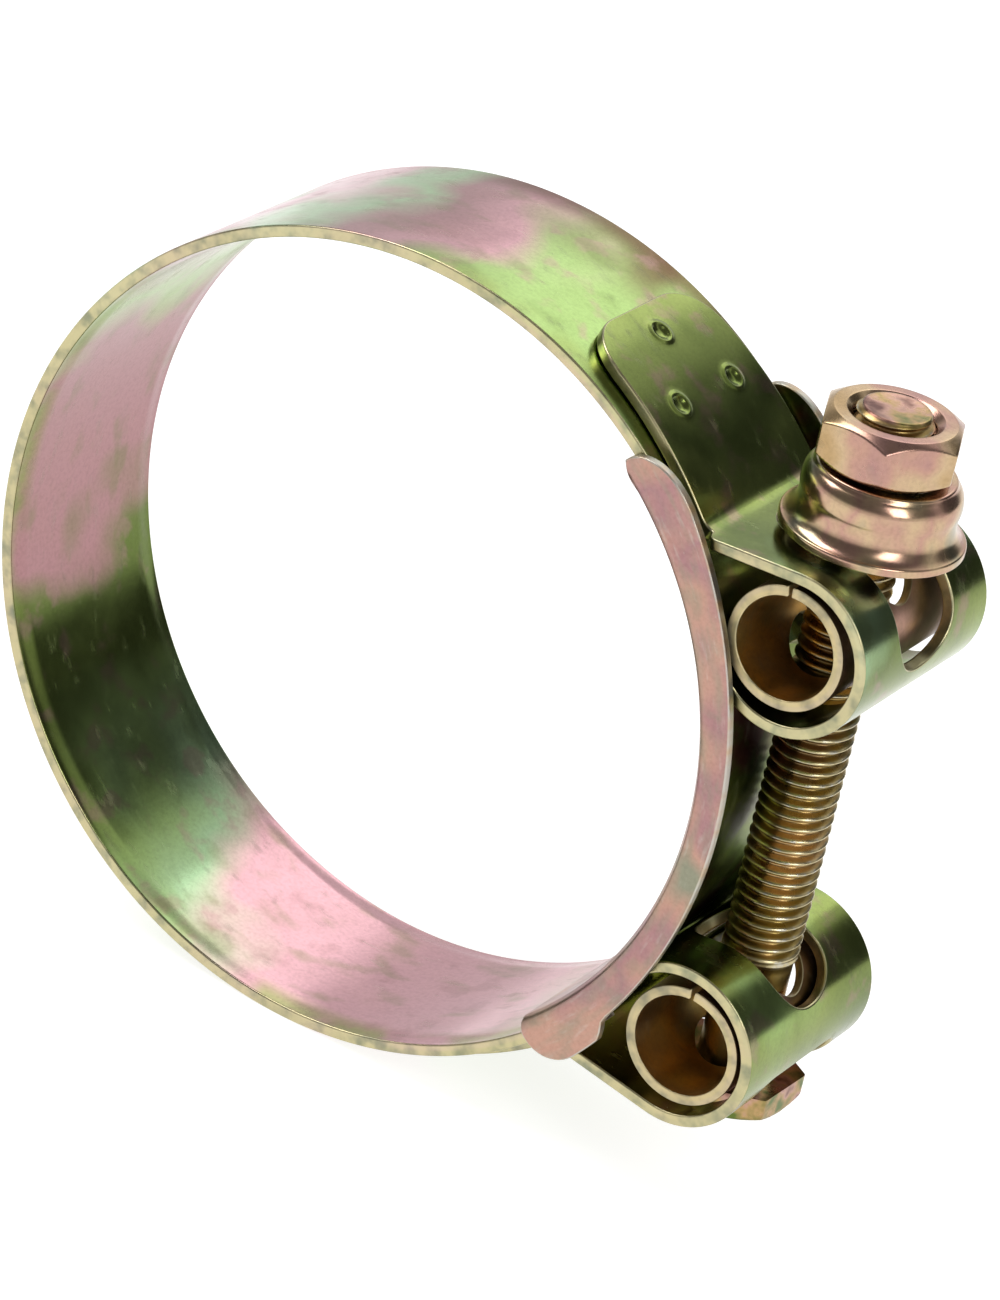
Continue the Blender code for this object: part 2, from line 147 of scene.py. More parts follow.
EAR_EASE = 0.15
EAR_CORNER = 0.8
EAR_CHAMFER = 0.2

# Tubes.
TUBE_RADIUS = (LOWER_TUBE_HIGH.x - LOWER_TUBE_LOW.x) / 2
TUBE_WALL = 1.05
TUBE_EDGE = 0.15
TUBE_SEAM = 0.5
TUBE_EASE = 0.3
UPPER_SEAM_ANGLE = 98.0
UPPER_HOLE_RADIUS = 5.0
LOWER_SEAM_ANGLE = 91.0
LOWER_HOLE_RADIUS = 4.4

# Bolt, nut and collar.
PITCH = 1.25
THREAD_MAJOR = 3.85
THREAD_DEPTH = 0.72
THREAD_SOFTNESS = 0.35
HEX_FLATS = 13.0
HEX_REACH = 0.64 * HEX_FLATS
CORNER_CROWDING = 0.75
NUT_TURN = -66.3
HEAD_TURN = 28.2
HEAD_HEIGHT = 3.0
HEAD_FLAT = 0.475 * HEX_FLATS
HEAD_CHAMFER = math.radians(30)
HEAD_ROUND = 4.5
AXIS_HOLE = 0.02
NARROW = 0.01
SHANK_RADIUS = 3.55
SHANK_FILLET = 0.35
THREAD_START = -17.0
THREAD_RUN_IN = 1.5
THREAD_STEPS = 12
THREAD_SHORT = 0.15
TIP_RADIUS = THREAD_MAJOR - 0.62
TIP_BOW = 0.12
TIP_SHORT = 0.005
TIP_ROUNDING = ((0.08, 0.06), (-0.02, 0.01), (-0.2, TIP_SHORT))
TIP_CREST = 0.8
NUT_FLAT = 0.46 * HEX_FLATS
NUT_CHAMFER = math.radians(34)
NUT_ROUND = 5.2
NUT_BORE = 4.0
NUT_MOUTH = 4.75
NUT_MOUTH_DEPTH = 0.75
NUT_THREAD_DEPTH = 0.35
COLLAR_CENTRE = ((COLLAR_LOW.x + COLLAR_HIGH.x) / 2, (COLLAR_LOW.y + COLLAR_HIGH.y) / 2)


# ---------------------------------------------------------------- mesh helpers

class Skin:
    """Points of a mesh with their normals and the places its material reads."""

    def __init__(self):
        self.points = []
        self.normals = []
        self.strips = []
        self.edges = []
        self.faces = []

    def add(self, point, normal, strip, edge=1.0):
        self.points.append(tuple(point))
        self.normals.append(tuple(normal))
        self.strips.append(tuple(strip))
        self.edges.append(edge)
        return len(self.points) - 1

    def add_grid(self, grid, closed_u=False, closed_v=False):
        """Faces between rows of point numbers."""
        rows = len(grid)
        columns = len(grid[0])
        for i in range(rows if closed_u else rows - 1):
            for j in range(columns if closed_v else columns - 1):
                k = (i + 1) % rows
                m = (j + 1) % columns
                self.faces.append((grid[i][j], grid[i][m], grid[k][m], grid[k][j]))

    def signed_volume(self):
        points = np.array(self.points)
        triangles = np.array([(face[0], b, c) for face in self.faces
                              for b, c in zip(face[1:], face[2:])])
        a, b, c = (points[triangles[:, i]] for i in range(3))
        return (a * np.cross(b, c)).sum() / 6


def make_piece(name, skin, material):
    """A mesh object in metres, facing outwards, with its own normals and attributes."""
    faces = outward_faces(skin)
    mesh = bpy.data.meshes.new(name)
    mesh.from_pydata([tuple(value * MM for value in point) for point in skin.points], [], faces)
    mesh.polygons.foreach_set("use_smooth", [True] * len(faces))
    rest = mesh.attributes.new("rest", "FLOAT_VECTOR", "POINT")
    rest.data.foreach_set("vector", np.array(skin.points, np.float32).ravel())
    strip = mesh.attributes.new("strip", "FLOAT_VECTOR", "POINT")
    strip.data.foreach_set("vector", np.array(skin.strips, np.float32).ravel())
    edge = mesh.attributes.new("edge", "FLOAT", "POINT")
    edge.data.foreach_set("value", np.array(skin.edges, np.float32))
    mesh.update()
    mesh.normals_split_custom_set_from_vertices(skin.normals)
    mesh.materials.append(material)
    obj = bpy.data.objects.new(name, mesh)
    bpy.context.scene.collection.objects.link(obj)
    return obj


def polar(radius, angle):
    return np.array((radius * math.cos(math.radians(angle)),
                     radius * math.sin(math.radians(angle))))


def smooth_step(value, start, end):
    part = min(max((value - start) / (end - start), 0.0), 1.0)
    return part * part * (3 - 2 * part)


class Path:
    """A smooth line in the XZ plane, read by distance from its start."""

    STEP = 0.05

    def __init__(self, points, ease, side=1):
        points = np.array(points, float)
        gaps = np.hypot(*np.diff(points, axis=0).T)
        keep = np.r_[True, gaps > 1e-6]
        points = points[keep]
        marks = np.r_[0.0, np.cumsum(np.hypot(*np.diff(points, axis=0).T))]
        count = int(round(marks[-1] / self.STEP))
        self.step = marks[-1] / count
        self.length = marks[-1]
        at = np.linspace(0, marks[-1], count + 1)
        line = np.c_[np.interp(at, marks, points[:, 0]), np.interp(at, marks, points[:, 1])]
        heading = np.unwrap(np.arctan2(*np.diff(line, axis=0).T[::-1]))
        window = max(1, int(round(ease / self.step)))
        before = heading[0] + (heading[1] - heading[0]) * np.arange(-window, 0)
        after = heading[-1] + (heading[-1] - heading[-2]) * np.arange(1, window + 1)
        kernel = np.ones(2 * window + 1) / (2 * window + 1)
        heading = np.convolve(np.r_[before, heading, after], kernel, "valid")
        steps = np.c_[np.cos(heading), np.sin(heading)] * self.step
        self.line = np.vstack((line[:1], line[0] + np.cumsum(steps, axis=0)))
        self.heading = np.r_[heading, heading[-1]]
        self.at = at
        self.side = side

    def place(self, u, v, n):
        """Point and surface normal at a distance u, with y = v, raised by n."""
        x = np.interp(u, self.at, self.line[:, 0])
        z = np.interp(u, self.at, self.line[:, 1])
        heading = np.interp(u, self.at, self.heading)
        normal = (-math.sin(heading), math.cos(heading))
        point = (x + normal[0] * n, v, self.side * (z + normal[1] * n))
        return point, (normal[0], 0.0, self.side * normal[1])


# Limits and spacings of flat patterns, and how far off a surface's slope is read.
SHARPEST_MITRE = 0.6
SAME_PLACE = 1e-4
TOO_CLOSE = 0.02
NO_LENGTH = 1e-6
PROBE = 0.05
RAISED = 0.5
FLAT = 0.999
CLEAR_OF_LOOP = 0.5
CLEAR_OF_EXTRA = 0.6
CDT_REACH = 1e-7
SLOT_SPACING = 0.4
RELIEF_PROBE = 0.06


def inward_normals(loop):
    """Normals to the left of a closed 2D loop, longer at corners to keep the inset even."""
    loop = np.array(loop)
    incoming = loop - np.roll(loop, 1, axis=0)
    outgoing = np.roll(loop, -1, axis=0) - loop
    incoming /= np.hypot(*incoming.T)[:, None]
    outgoing /= np.hypot(*outgoing.T)[:, None]
    along = incoming + outgoing
    along /= np.maximum(np.hypot(*along.T), 1e-6)[:, None]
    mitre = np.maximum((along * incoming).sum(1), SHARPEST_MITRE)
    return np.c_[-along[:, 1], along[:, 0]] / mitre[:, None]


def spaced(points, spacing):
    """The same closed line with points about one spacing apart, corners kept."""
    points = [np.array(p, float) for p in points]
    result = []
    for a, b in zip(points, points[1:] + points[:1]):
        count = max(1, int(math.ceil(np.hypot(*(b - a)) / spacing)))
        result += [a + (b - a) * i / count for i in range(count)]
    return result


def rounded_slot(start, end, half, corner):
    """A closed slot outline along u with rounded corners."""
    steps = max(4, int(corner * math.pi / 2 / SLOT_SPACING))
    loop = []
    for cu, cv, first in ((end - corner, half - corner, 0), (start + corner, half - corner, 90),
                          (start + corner, corner - half, 180), (end - corner, corner - half, 270)):
        for i in range(steps + 1):
            point = np.array((cu, cv)) + polar(corner, first + 90 * i / steps)
            if not loop or np.hypot(*(point - loop[-1])) > SAME_PLACE:
                loop.append(point)
    if np.hypot(*(loop[0] - loop[-1])) < SAME_PLACE:
        loop.pop()
    return spaced(loop, SLOT_SPACING)


def edge_profile(thickness, edge):
    """(inset, height, normal up, normal out) of a sheet's wall, from its upper face down."""
    steps = 3
    profile = []
    for sign in (1, -1):
        part = []
        for i in range(steps + 1):
            a = math.pi / 2 * i / steps
            height = thickness / 2 - edge * (1 - math.cos(a))
            part.append((edge * (1 - math.sin(a)), sign * height,
                         sign * math.cos(a), math.sin(a)))
        profile += part if sign > 0 else part[::-1]
    return profile


def sheet_wall(skin, loop, inward, place, thickness, edge, relief, strip):
    """Adds the rounded cut edge along one loop; returns its upper and lower rows."""
    profile = edge_profile(thickness, edge)
    last = len(profile) - 1
    rows = []
    for level, (inset, height, up, out) in enumerate(profile):
        row = []
        face = 1 if height > 0 else -1
        for (u, v), (mu, mv) in zip(loop, inward):
            pu, pv = u + mu * inset, v + mv * inset
            lift = relief(pu, pv, face) * face if relief and abs(up) > RAISED else 0.0
            point, normal = place(pu, pv, height + lift)
            ahead, _ = place(pu + mu * PROBE, pv + mv * PROBE, height)
            behind, _ = place(pu - mu * PROBE, pv - mv * PROBE, height)
            inside = (Vector(ahead) - Vector(behind)).normalized()
            shade = Vector(normal) * up - inside * out
            shade = shade if shade.length > NO_LENGTH else Vector(normal)
            if relief and abs(up) > FLAT:
                shade = relief_normal(place, relief, pu, pv, face, thickness)
            depth = 0.0 if 0 < level < last else edge
            row.append(skin.add(point, shade.normalized(), (*strip(pu, pv), face), depth))
        rows.append(row)
    skin.add_grid(rows[::-1], closed_v=True)
    return rows[0], rows[-1]


def inner_points(boundary, extra, spacing):
    """Points of the flat pattern away from its loops and from the extra points."""
    low, high = boundary.min(0), boundary.max(0)
    columns = max(2, int((high[0] - low[0]) / spacing))
    lines = max(2, int((high[1] - low[1]) / spacing))
    extra_points = np.array(extra) if len(extra) else np.full((1, 2), np.inf)
    inner = list(extra)
    for i in range(columns):
        for j in range(lines):
            point = low + (high - low) * (i + 0.5, j + 0.5) / (columns, lines)
            away = np.hypot(*(boundary - point).T).min()
            gap = np.hypot(*(extra_points - point).T).min()
            if away > CLEAR_OF_LOOP * spacing and gap >= CLEAR_OF_EXTRA * spacing:
                inner.append(point)
    return inner


def flat_pattern(loops, extra, spacing):
    """Triangles of the area between the loops: points, faces and the points' origins."""
    boundary = np.vstack(loops)
    points = [Vector(p) for p in boundary] + [Vector(p) for p in
                                              inner_points(boundary, extra, spacing)]
    edges = []
    first = 0
    for loop in loops:
        count = len(loop)
        edges += [(first + i, first + (i + 1) % count) for i in range(count)]
        first += count
    made, _, faces, origins, _, _ = delaunay_2d_cdt(points, edges, [], 0, CDT_REACH)
    kept = [face for face in faces
            if inside_loops(sum((made[i] for i in face), Vector((0, 0))) / 3, loops)]
    return boundary, made, kept, [origin[0] if len(origin) else -1 for origin in origins]


def sheet_skin(outline, holes, place, thickness, edge, spacing, relief=None, extra=(),
               strip=None, butt=None):
    """A piece of sheet metal: two faces and rounded cut edges, bent by place(u, v, n).

    relief(u, v, face) raises a face, which is +1 or -1, along its own outward normal.
    extra holds more points of the flat pattern, where a relief needs them. At u = butt the
    sheet runs on into another piece, so its edge is left square there.
    """
    strip = strip or (lambda u, v: (u, v))
    skin = Skin()
    upper, lower = [], []
    flat_loops = []
    for loop in [np.array(outline)] + [np.array(hole)[::-1] for hole in holes]:
        inward = inward_normals(loop)
        if butt is not None:
            square = np.abs(loop[:, 0] - butt) < NO_LENGTH
            corner = square & (np.abs(np.abs(loop[:, 1]) - HALF_WIDTH) < NO_LENGTH)
            inward[square] = 0.0
            inward[corner, 1] = -np.sign(loop[corner, 1])
        flat_loops.append(loop + inward * edge)
        top, bottom = sheet_wall(skin, loop, inward, place, thickness, edge, relief, strip)
        upper += top
        lower += bottom
    boundary, points, faces, origins = flat_pattern(flat_loops, extra, spacing)
    for side, ring in ((1, upper), (-1, lower)):
        number = []
        for (u, v), origin in zip(points, origins):
            if 0 <= origin < len(boundary):
                number.append(ring[origin])
                continue
            lift = relief(u, v, side) if relief else 0.0
            point, normal = place(u, v, side * (thickness / 2 + lift))
            if relief:
                normal = relief_normal(place, relief, u, v, side, thickness)
            else:
                normal = Vector(normal) * side
            away = np.hypot(*(boundary - np.array((u, v))).T).min() + edge
            number.append(skin.add(point, normal, (*strip(u, v), side), away))
        for face in faces:
            corners = [number[i] for i in face]
            skin.faces.append(tuple(corners if side > 0 else reversed(corners)))
    return skin


def relief_normal(place, relief, u, v, side, thickness):
    """Normal of a raised face, from points a little way off."""
    h = RELIEF_PROBE
    corners = []
    for du, dv in ((h, 0), (-h, 0), (0, h), (0, -h)):
        lift = side * (thickness / 2 + relief(u + du, v + dv, side))
        corners.append(Vector(place(u + du, v + dv, lift)[0]))
    normal = (corners[0] - corners[1]).cross(corners[2] - corners[3])
    reference = Vector(place(u, v, 0.0)[1]) * side
    if normal.dot(reference) < 0:
        normal = -normal
    return normal.normalized()


def inside_loops(point, loops):
    """Whether a point is inside the first loop and outside the others."""
    x, y = point
    inside = False
    for loop in loops:
        following = np.roll(loop, -1, axis=0)
        spans = (loop[:, 1] > y) != (following[:, 1] > y)
        a = loop[spans]
        b = following[spans]
        crossing = a[:, 0] + (y - a[:, 1]) / (b[:, 1] - a[:, 1]) * (b[:, 0] - a[:, 0])
        if (crossing > x).sum() % 2:
            inside = not inside
    return inside


def relief_points(centre, radii, count):
    """Rings of pattern points round a small raised feature."""
    points = [np.array(centre)]
    for radius in radii:
        points += [np.array(centre) + polar(radius, 360 * i / count) for i in range(count)]
    return points


def outward_faces(skin):
    """A skin's faces, turned outwards."""
    if skin.signed_volume() < 0:
        return [tuple(reversed(face)) for face in skin.faces]
    return skin.faces


def merged(skins):
    """One skin out of several closed ones."""
    whole = Skin()
    for skin in skins:
        first = len(whole.points)
        whole.faces += [tuple(first + i for i in face) for face in outward_faces(skin)]
        whole.points += skin.points
        whole.normals += skin.normals
        whole.strips += skin.strips
        whole.edges += skin.edges
    return whole


# ---------------------------------------------------------------- band

def inner_crown(v):
    """How far the ring's inner face bulges towards the hose across its width."""
    flat_to, crowned_from = HALF_WIDTH - CUT_ROUNDING, HALF_WIDTH - CROWN_RUN
    return INNER_CROWN * (1 - smooth_step(abs(v), crowned_from, flat_to))


def arc_points(centre, radius, start, end, step=1.0):
    count = max(2, int(abs(end - start) / step))
    return [np.array(centre) + polar(radius, start + (end - start) * i / count)
            for i in range(count + 1)]


def band_end_path(end):
    """The line of one end of the band, with the distances where its parts begin."""
    seat = end["seat"]
    ring = arc_points((0, 0), RING_MID, FLEX_ANGLE + LEAD_ANGLE, seat, 0.5)
    centre = polar(RING_MID + end["loop"], seat)
    crease = polar(TAB_MID, end["crease"])
    to_centre = centre - crease
    lean = math.asin(end["loop"] / np.hypot(*to_centre))
    leave = math.degrees(math.atan2(to_centre[1], to_centre[0]) + lean) + 90
    loop = arc_points(centre, end["loop"], seat - 180, leave)
    towards = (loop[-1] - crease) / np.hypot(*(loop[-1] - crease))
    bend_start = crease + towards * CREASE_RADIUS
    tab_start = end["crease"] + math.degrees(CREASE_RADIUS / TAB_MID)
    bend_end = polar(TAB_MID, tab_start)
    bend = [bend_start * (1 - t) ** 2 + crease * 2 * t * (1 - t) + bend_end * t * t
            for t in np.linspace(0, 1, 9)]
    tab = arc_points((0, 0), TAB_MID, tab_start,
                     end["crease"] + TAB_LENGTH_ANGLE + LEAD_ANGLE, 0.5)
    path = Path(ring + loop[1:] + bend + tab[1:], BEND_EASE, end["side"])
    origin = math.radians(LEAD_ANGLE) * RING_MID
    loop_start = origin + math.radians(FLEX_ANGLE - seat) * RING_MID
    leg_start = loop_start + math.radians(leave - seat + 180) * end["loop"]
    crease_at = leg_start + np.hypot(*(loop[-1] - crease))
    tip = crease_at + math.radians(TAB_LENGTH_ANGLE) * TAB_MID - TAB_SHORT
    return path, {"origin": origin, "loop": loop_start, "leg": leg_start, "crease": crease_at,
                  "tip": tip, "leave_x": loop[-1][0]}


def band_end_outline(end, marks):
    """Flat pattern of one end: a full-width strip, a shoulder and a rounded, tapering tab."""
    side = [(marks["origin"], -HALF_WIDTH)]
    shoulder = marks["crease"] - SHOULDER_SETBACK - SHOULDER_RADIUS
    side.append((shoulder, -HALF_WIDTH))
    drop = HALF_WIDTH - end["tab"]
    for a in np.linspace(0, math.pi / 2, 9)[1:]:
        side.append((shoulder + SHOULDER_RADIUS * math.sin(a),
                     -HALF_WIDTH + drop * (1 - math.cos(a))))
    corner = marks["tip"] - TAB_CORNER
    side.append((corner, -end["tip"] - TAB_SHORT))
    for a in np.linspace(0, math.pi / 2, 13)[1:]:
        side.append((corner + TAB_CORNER * math.sin(a),
                     -end["tip"] + TAB_CORNER * (1 - math.cos(a))))
    other = [(u, -v) for u, v in reversed(side)]
    return spaced(side + other, 0.55)


def clinch_relief(away):
    """Height of a pressed clinch at a distance from its middle."""
    rim, bowl = CLINCH_RIM, CLINCH_BOWL
    return (rim["height"] * math.exp(-((away - rim["radius"]) / rim["width"]) ** 2)
            - bowl["depth"] * math.exp(-(away / bowl["radius"]) ** 4))


def build_band_end(name, end, slots, body, node, material):
    path, marks = band_end_path(end)
    holes = [rounded_slot(*slot(marks, end)) for slot in slots]
    centres = [(marks["crease"] + math.radians(past) * TAB_MID, y) for past, y in CLINCHES]

    def relief(u, v, face):
        if face > 0:
            return 0.0
        flat_start, flat_end = (marks["loop"] - before for before in CROWN_FADE)
        height = inner_crown(v) * (1 - smooth_step(u, flat_start, flat_end))
        for centre in centres:
            away = math.hypot(u - centre[0], v - centre[1])
            if away < CLINCH_REACH:
                height += clinch_relief(away)
        return height

    def strip(u, v):
        turned = math.degrees((u - marks["origin"]) / RING_MID)
        start = FLEX_ANGLE if end["side"] > 0 else 360 - FLEX_ANGLE
        return start - end["side"] * turned, v

    extra = []
    for centre in centres:
        extra += relief_points(centre, CLINCH_RINGS, 20)
    skin = sheet_skin(band_end_outline(end, marks), holes, path.place, BAND_THICKNESS,
                      CUT_ROUNDING, 0.9, relief, extra, strip, marks["origin"])
    piece = make_piece(name, skin, material)
    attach(piece, body)
    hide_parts(node)
    return piece


def loop_slot(first, last, half, corner):
    """A slot in the loop between two directions, seen with the tab's side up."""
    def limits(marks, end):
        def at(angle):
            return marks["loop"] + math.radians(angle - end["seat"] + 180) * end["loop"]
        return at(first), at(last), half, corner
    return limits


def leg_slot(first, last_x, half, corner):
    """The bolt's slot, from a direction on the loop to a place on the straight leg."""
    def limits(marks, end):
        start = marks["loop"] + math.radians(first - end["seat"] + 180) * end["loop"]
        return start, marks["leg"] + marks["leave_x"] - last_x, half, corner
    return limits


def ring_section():
    """Cross-section of the ring's strip as (y, height, normal y, normal height, face)."""
    edge = CUT_ROUNDING
    half = HALF_WIDTH
    top = BAND_THICKNESS / 2
    steps = 4

    def corner(quarter, side, up):
        points = []
        for i in range(1, steps):
            turn = math.pi / 2 * (1 - quarter - i / steps)
            y, height = math.cos(turn), math.sin(turn)
            points.append((side * (half - edge) + edge * y, up * (top - edge) + edge * height,
                           y, height, up))
        return points

    def wall(side):
        ends = [(side * half, top - edge, side, 0.0, 0), (side * half, edge - top, side, 0.0, 0)]
        return ends[::side]

    inner = []
    for v in np.linspace(half - edge, edge - half, 61):
        slope = (inner_crown(v + 0.02) - inner_crown(v - 0.02)) / 0.04
        size = math.hypot(slope, 1.0)
        inner.append((v, -top - inner_crown(v), -slope / size, -1 / size, -1))
    outer = [(v, top, 0.0, 1.0, 1) for v in np.linspace(edge - half, half - edge, 31)]
    return (outer + corner(0, 1, 1) + wall(1) + corner(1, 1, -1)
            + inner + corner(2, -1, -1) + wall(-1) + corner(3, -1, 1))


def build_ring_part(name, start, end, material):
    """A length of the plain ring between two angles."""
    skin = Skin()
    grid = []
    count = int(abs(end - start) / RING_STEP)
    section = ring_section()
    for i in range(count + 1):
        angle = start + (end - start) * i / count
        across = polar(1.0, angle)
        row = []
        for y, height, normal_y, normal_up, face in section:
            radius = RING_MID + height
            edge = max(HALF_WIDTH - abs(y), 0.0) if face else 0.0
            row.append(skin.add((across[0] * radius, y, across[1] * radius),
                                (across[0] * normal_up, normal_y, across[1] * normal_up),
                                (angle % 360, y, face), edge))
        grid.append(row)
    skin.add_grid(grid, closed_v=True)
    skin.faces += [tuple(grid[0]), tuple(grid[-1][::-1])]
    return make_piece(name, skin, material)


def build_band(material):
    upper = build_ring_part("ring_upper_length", FLEX_ANGLE, 180.0, material)
    lower = build_ring_part("ring_lower_length", 180.0, 360.0 - FLEX_ANGLE, material)
    for piece, side, body in ((upper, 1, "ring_upper"), (lower, -1, "saddle")):
        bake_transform(piece)
    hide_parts("band_back")
    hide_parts("band_back")
    build_band_end("band_upper_loop", UPPER_END,
                   (loop_slot(-134, -42, 5.0, 4.9), leg_slot(-12, 36.3, 5.3, 5.2)),
                   "ring_upper", "band_upper_end", material)
    build_band_end("band_lower_loop", LOWER_END,
                   (loop_slot(-130, -25, 5.0, 4.9), leg_slot(18, 36.5, 8.0, 3.0)),
                   "saddle", "band_lower_end", material)


# ---------------------------------------------------------------- bridge

def round_off(angle, end, rounding):
    """How far a flange's end is rounded down at an angle."""
    part = max(1 - abs(end - angle) / rounding["corner"], 0.0)
    return rounding["drop"] * (1 - math.sqrt(1 - part * part))


def flange_height(angle):
    """Outer radius of the bridge's flanges at an angle, as in the CAD model."""
    height = FLANGE_LOWEST + FLANGE_RISE * (angle - FLANGE_LOWEST_ANGLE) ** 2
    height = min(height, FLANGE_HIGHEST) + FOOT_LIFT * smooth_step(-angle, FOOT_START, FOOT_END)
    return (height - round_off(angle, BRIDGE_START, START_ROUNDING)
            - round_off(angle, BRIDGE_END, END_ROUNDING))


def bridge_place(u, v, n):
    """A point of the bridge: u runs round the bore, v across the channel's section."""
    angle = math.degrees(u / WEB_MID)
    away = abs(v)
    sign = 1 if v > 0 else -1
    quarter = BRIDGE_BEND * math.pi / 2
    if away < WEB_HALF:
        y, radius, ny, nr = v, WEB_MID, 0.0, 1.0
    elif away < WEB_HALF + quarter:
        a = (away - WEB_HALF) / BRIDGE_BEND
        y = sign * (WEB_HALF + BRIDGE_BEND * math.sin(a))
        radius = WEB_MID + BRIDGE_BEND * (1 - math.cos(a))
        ny, nr = -sign * math.sin(a), math.cos(a)
    else:
        y = sign * FLANGE_Y
        radius = WEB_MID + BRIDGE_BEND + away - WEB_HALF - quarter
        ny, nr = -float(sign), 0.0
    out = polar(1.0, angle)
    point = (out[0] * (radius + n * nr), y + n * ny, out[1] * (radius + n * nr))
    return point, (out[0] * nr, ny, out[1] * nr)


def bridge_outline():
    """The channel's flat pattern, with its rounded flange ends."""
    quarter = BRIDGE_BEND * math.pi / 2

    def u_at(angle):
        return math.radians(angle) * WEB_MID

    def top(angle):
        return WEB_HALF + quarter + flange_height(angle) - WEB_MID - BRIDGE_BEND

    def foot(angle):
        beyond = max((angle - WEB_END) / (BRIDGE_END - WEB_END),
                     (WEB_START - angle) / (WEB_START - BRIDGE_START), 0.0)
        return WEB_HALF + beyond ** FLARE_POWER * (quarter - FLARE_SHORT)

    middle = (BRIDGE_START + BRIDGE_END) / 2
    reach = (BRIDGE_END - BRIDGE_START) / 2
    side = [(u_at(a), -top(a)) for a in middle - reach * np.cos(np.linspace(0, math.pi, 91))]
    upper_foot = [(u_at(a), -foot(a)) for a in np.linspace(BRIDGE_END, WEB_END, 12)]
    lower_foot = [(u_at(a), -foot(a)) for a in np.linspace(WEB_START, BRIDGE_START, 4)]
    half = side + upper_foot
    other = [(u, -v) for u, v in reversed(half)]
    outline = half + other + [(u, -v) for u, v in reversed(lower_foot)] + lower_foot
    cleaned = [outline[0]]
    for point in outline[1:]:
        if math.dist(point, cleaned[-1]) > TOO_CLOSE:
            cleaned.append(point)
    if math.dist(cleaned[0], cleaned[-1]) < TOO_CLOSE:
        cleaned.pop()
    return spaced(cleaned, 0.6)


def bridge_ear(side):
    """A lanced ear of the flange, folded inwards over the band's lower end."""
    line = [(FLANGE_Y, EAR_ROOT), (FLANGE_Y, EAR_MID - EAR_KNEE)]
    line += [(FLANGE_Y - EAR_KNEE * (1 - math.cos(a)), EAR_MID - EAR_KNEE * (1 - math.sin(a)))
             for a in np.linspace(0.15, math.pi / 2, 8)]
    line.append((EAR_TIP_Y, EAR_MID))
    path = Path(line, EAR_EASE)
    first, last = math.radians(EAR_START) * EAR_MID, math.radians(EAR_END) * EAR_MID

    def place(u, v, n):
        (y, _, radius), (ny, _, nr) = path.place(u, 0.0, n)
        out = polar(1.0, math.degrees(v / EAR_MID))
        return (out[0] * radius, side * y, out[1] * radius), (out[0] * nr, side * ny, out[1] * nr)

    corner = path.length - EAR_CORNER
    chamfer = path.length - EAR_CHAMFER
    outline = [(0.0, first), (corner, first), (chamfer, first + EAR_CHAMFER),
               (path.length, first + EAR_CORNER), (path.length, last - EAR_CORNER),
               (chamfer, last - EAR_CHAMFER), (corner, last), (0.0, last)]
    return sheet_skin(spaced(outline, 0.4), [], place, EAR_SHEET, EAR_EDGE, 0.5)


def build_bridge(material):
    channel = sheet_skin(bridge_outline(), [], bridge_place, BRIDGE_SHEET, BRIDGE_EDGE, 0.8,
                         strip=lambda u, v: (math.degrees(u / WEB_MID), v))
    skin = merged((channel, bridge_ear(-1), bridge_ear(1)))
    piece = make_piece("bridge_channel", skin, material)
    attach(piece, "saddle")
    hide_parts("bridge")


# ---------------------------------------------------------------- tubes

def tube_hole(pin_x, radius, mid, first, last, top, start_angle):
    """Part of the bolt's hole in the tube's flat pattern, by direction round the bolt."""
    points = []
    for t in np.linspace(first, last, 41):
        turn = math.degrees(math.acos((BOLT_X + radius * math.cos(t) - pin_x) / mid))
        turn = turn if top else 360 - turn
        points.append((turn, radius * math.sin(t)))
    return [(math.radians((turn - start_angle) % 360) * mid, y) for turn, y in points]


def build_tube(name, pin, seam_angle, hole_radius, body, node, material):
    """A tube rolled from sheet: its seam stays open and crosses the bolt's upper hole."""
    mid = TUBE_RADIUS - TUBE_WALL / 2
    half_seam = math.degrees(TUBE_SEAM / 2 / mid)
    start = seam_angle + half_seam
    end = seam_angle + 360 - half_seam
    path = Path(arc_points((pin.x, pin.z), mid, start, end), TUBE_EASE)
    length = path.length
    seam_x = pin.x + mid * math.cos(math.radians(start)) - BOLT_X
    left = math.acos(seam_x / hole_radius)
    seam_x = pin.x + mid * math.cos(math.radians(end)) - BOLT_X
    right = math.acos(seam_x / hole_radius)
    near_end = tube_hole(pin.x, hole_radius, mid, -right, right, True, start)
    far_end = tube_hole(pin.x, hole_radius, mid, left, 2 * math.pi - left, True, start)
    outline = [(0.0, -HALF_WIDTH), (length, -HALF_WIDTH)] + near_end
    outline += [(length, HALF_WIDTH), (0.0, HALF_WIDTH)]
    outline += [(max(u, 0.0), y) for u, y in far_end]
    below = tube_hole(pin.x, hole_radius, mid, 0, 2 * math.pi, False, start)[:-1]
    skin = sheet_skin(spaced(outline, 0.5), [below], path.place, TUBE_WALL, TUBE_EDGE, 0.8)
    piece = make_piece(name, skin, material)
    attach(piece, body)
    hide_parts(node)


# ---------------------------------------------------------------- turned parts

def thread_height(theta, z):
    """Height of an M8 thread above its root, from 0 to 1."""
    part = (z / PITCH - theta / (2 * math.pi)) % 1.0
    from_root = abs(part - 0.5) * 2
    rounded = smooth_step(from_root, 0.12, 0.95)
    straight = min(max((from_root - 0.2) / 0.66, 0.0), 1.0)
    return THREAD_SOFTNESS * rounded + (1 - THREAD_SOFTNESS) * straight


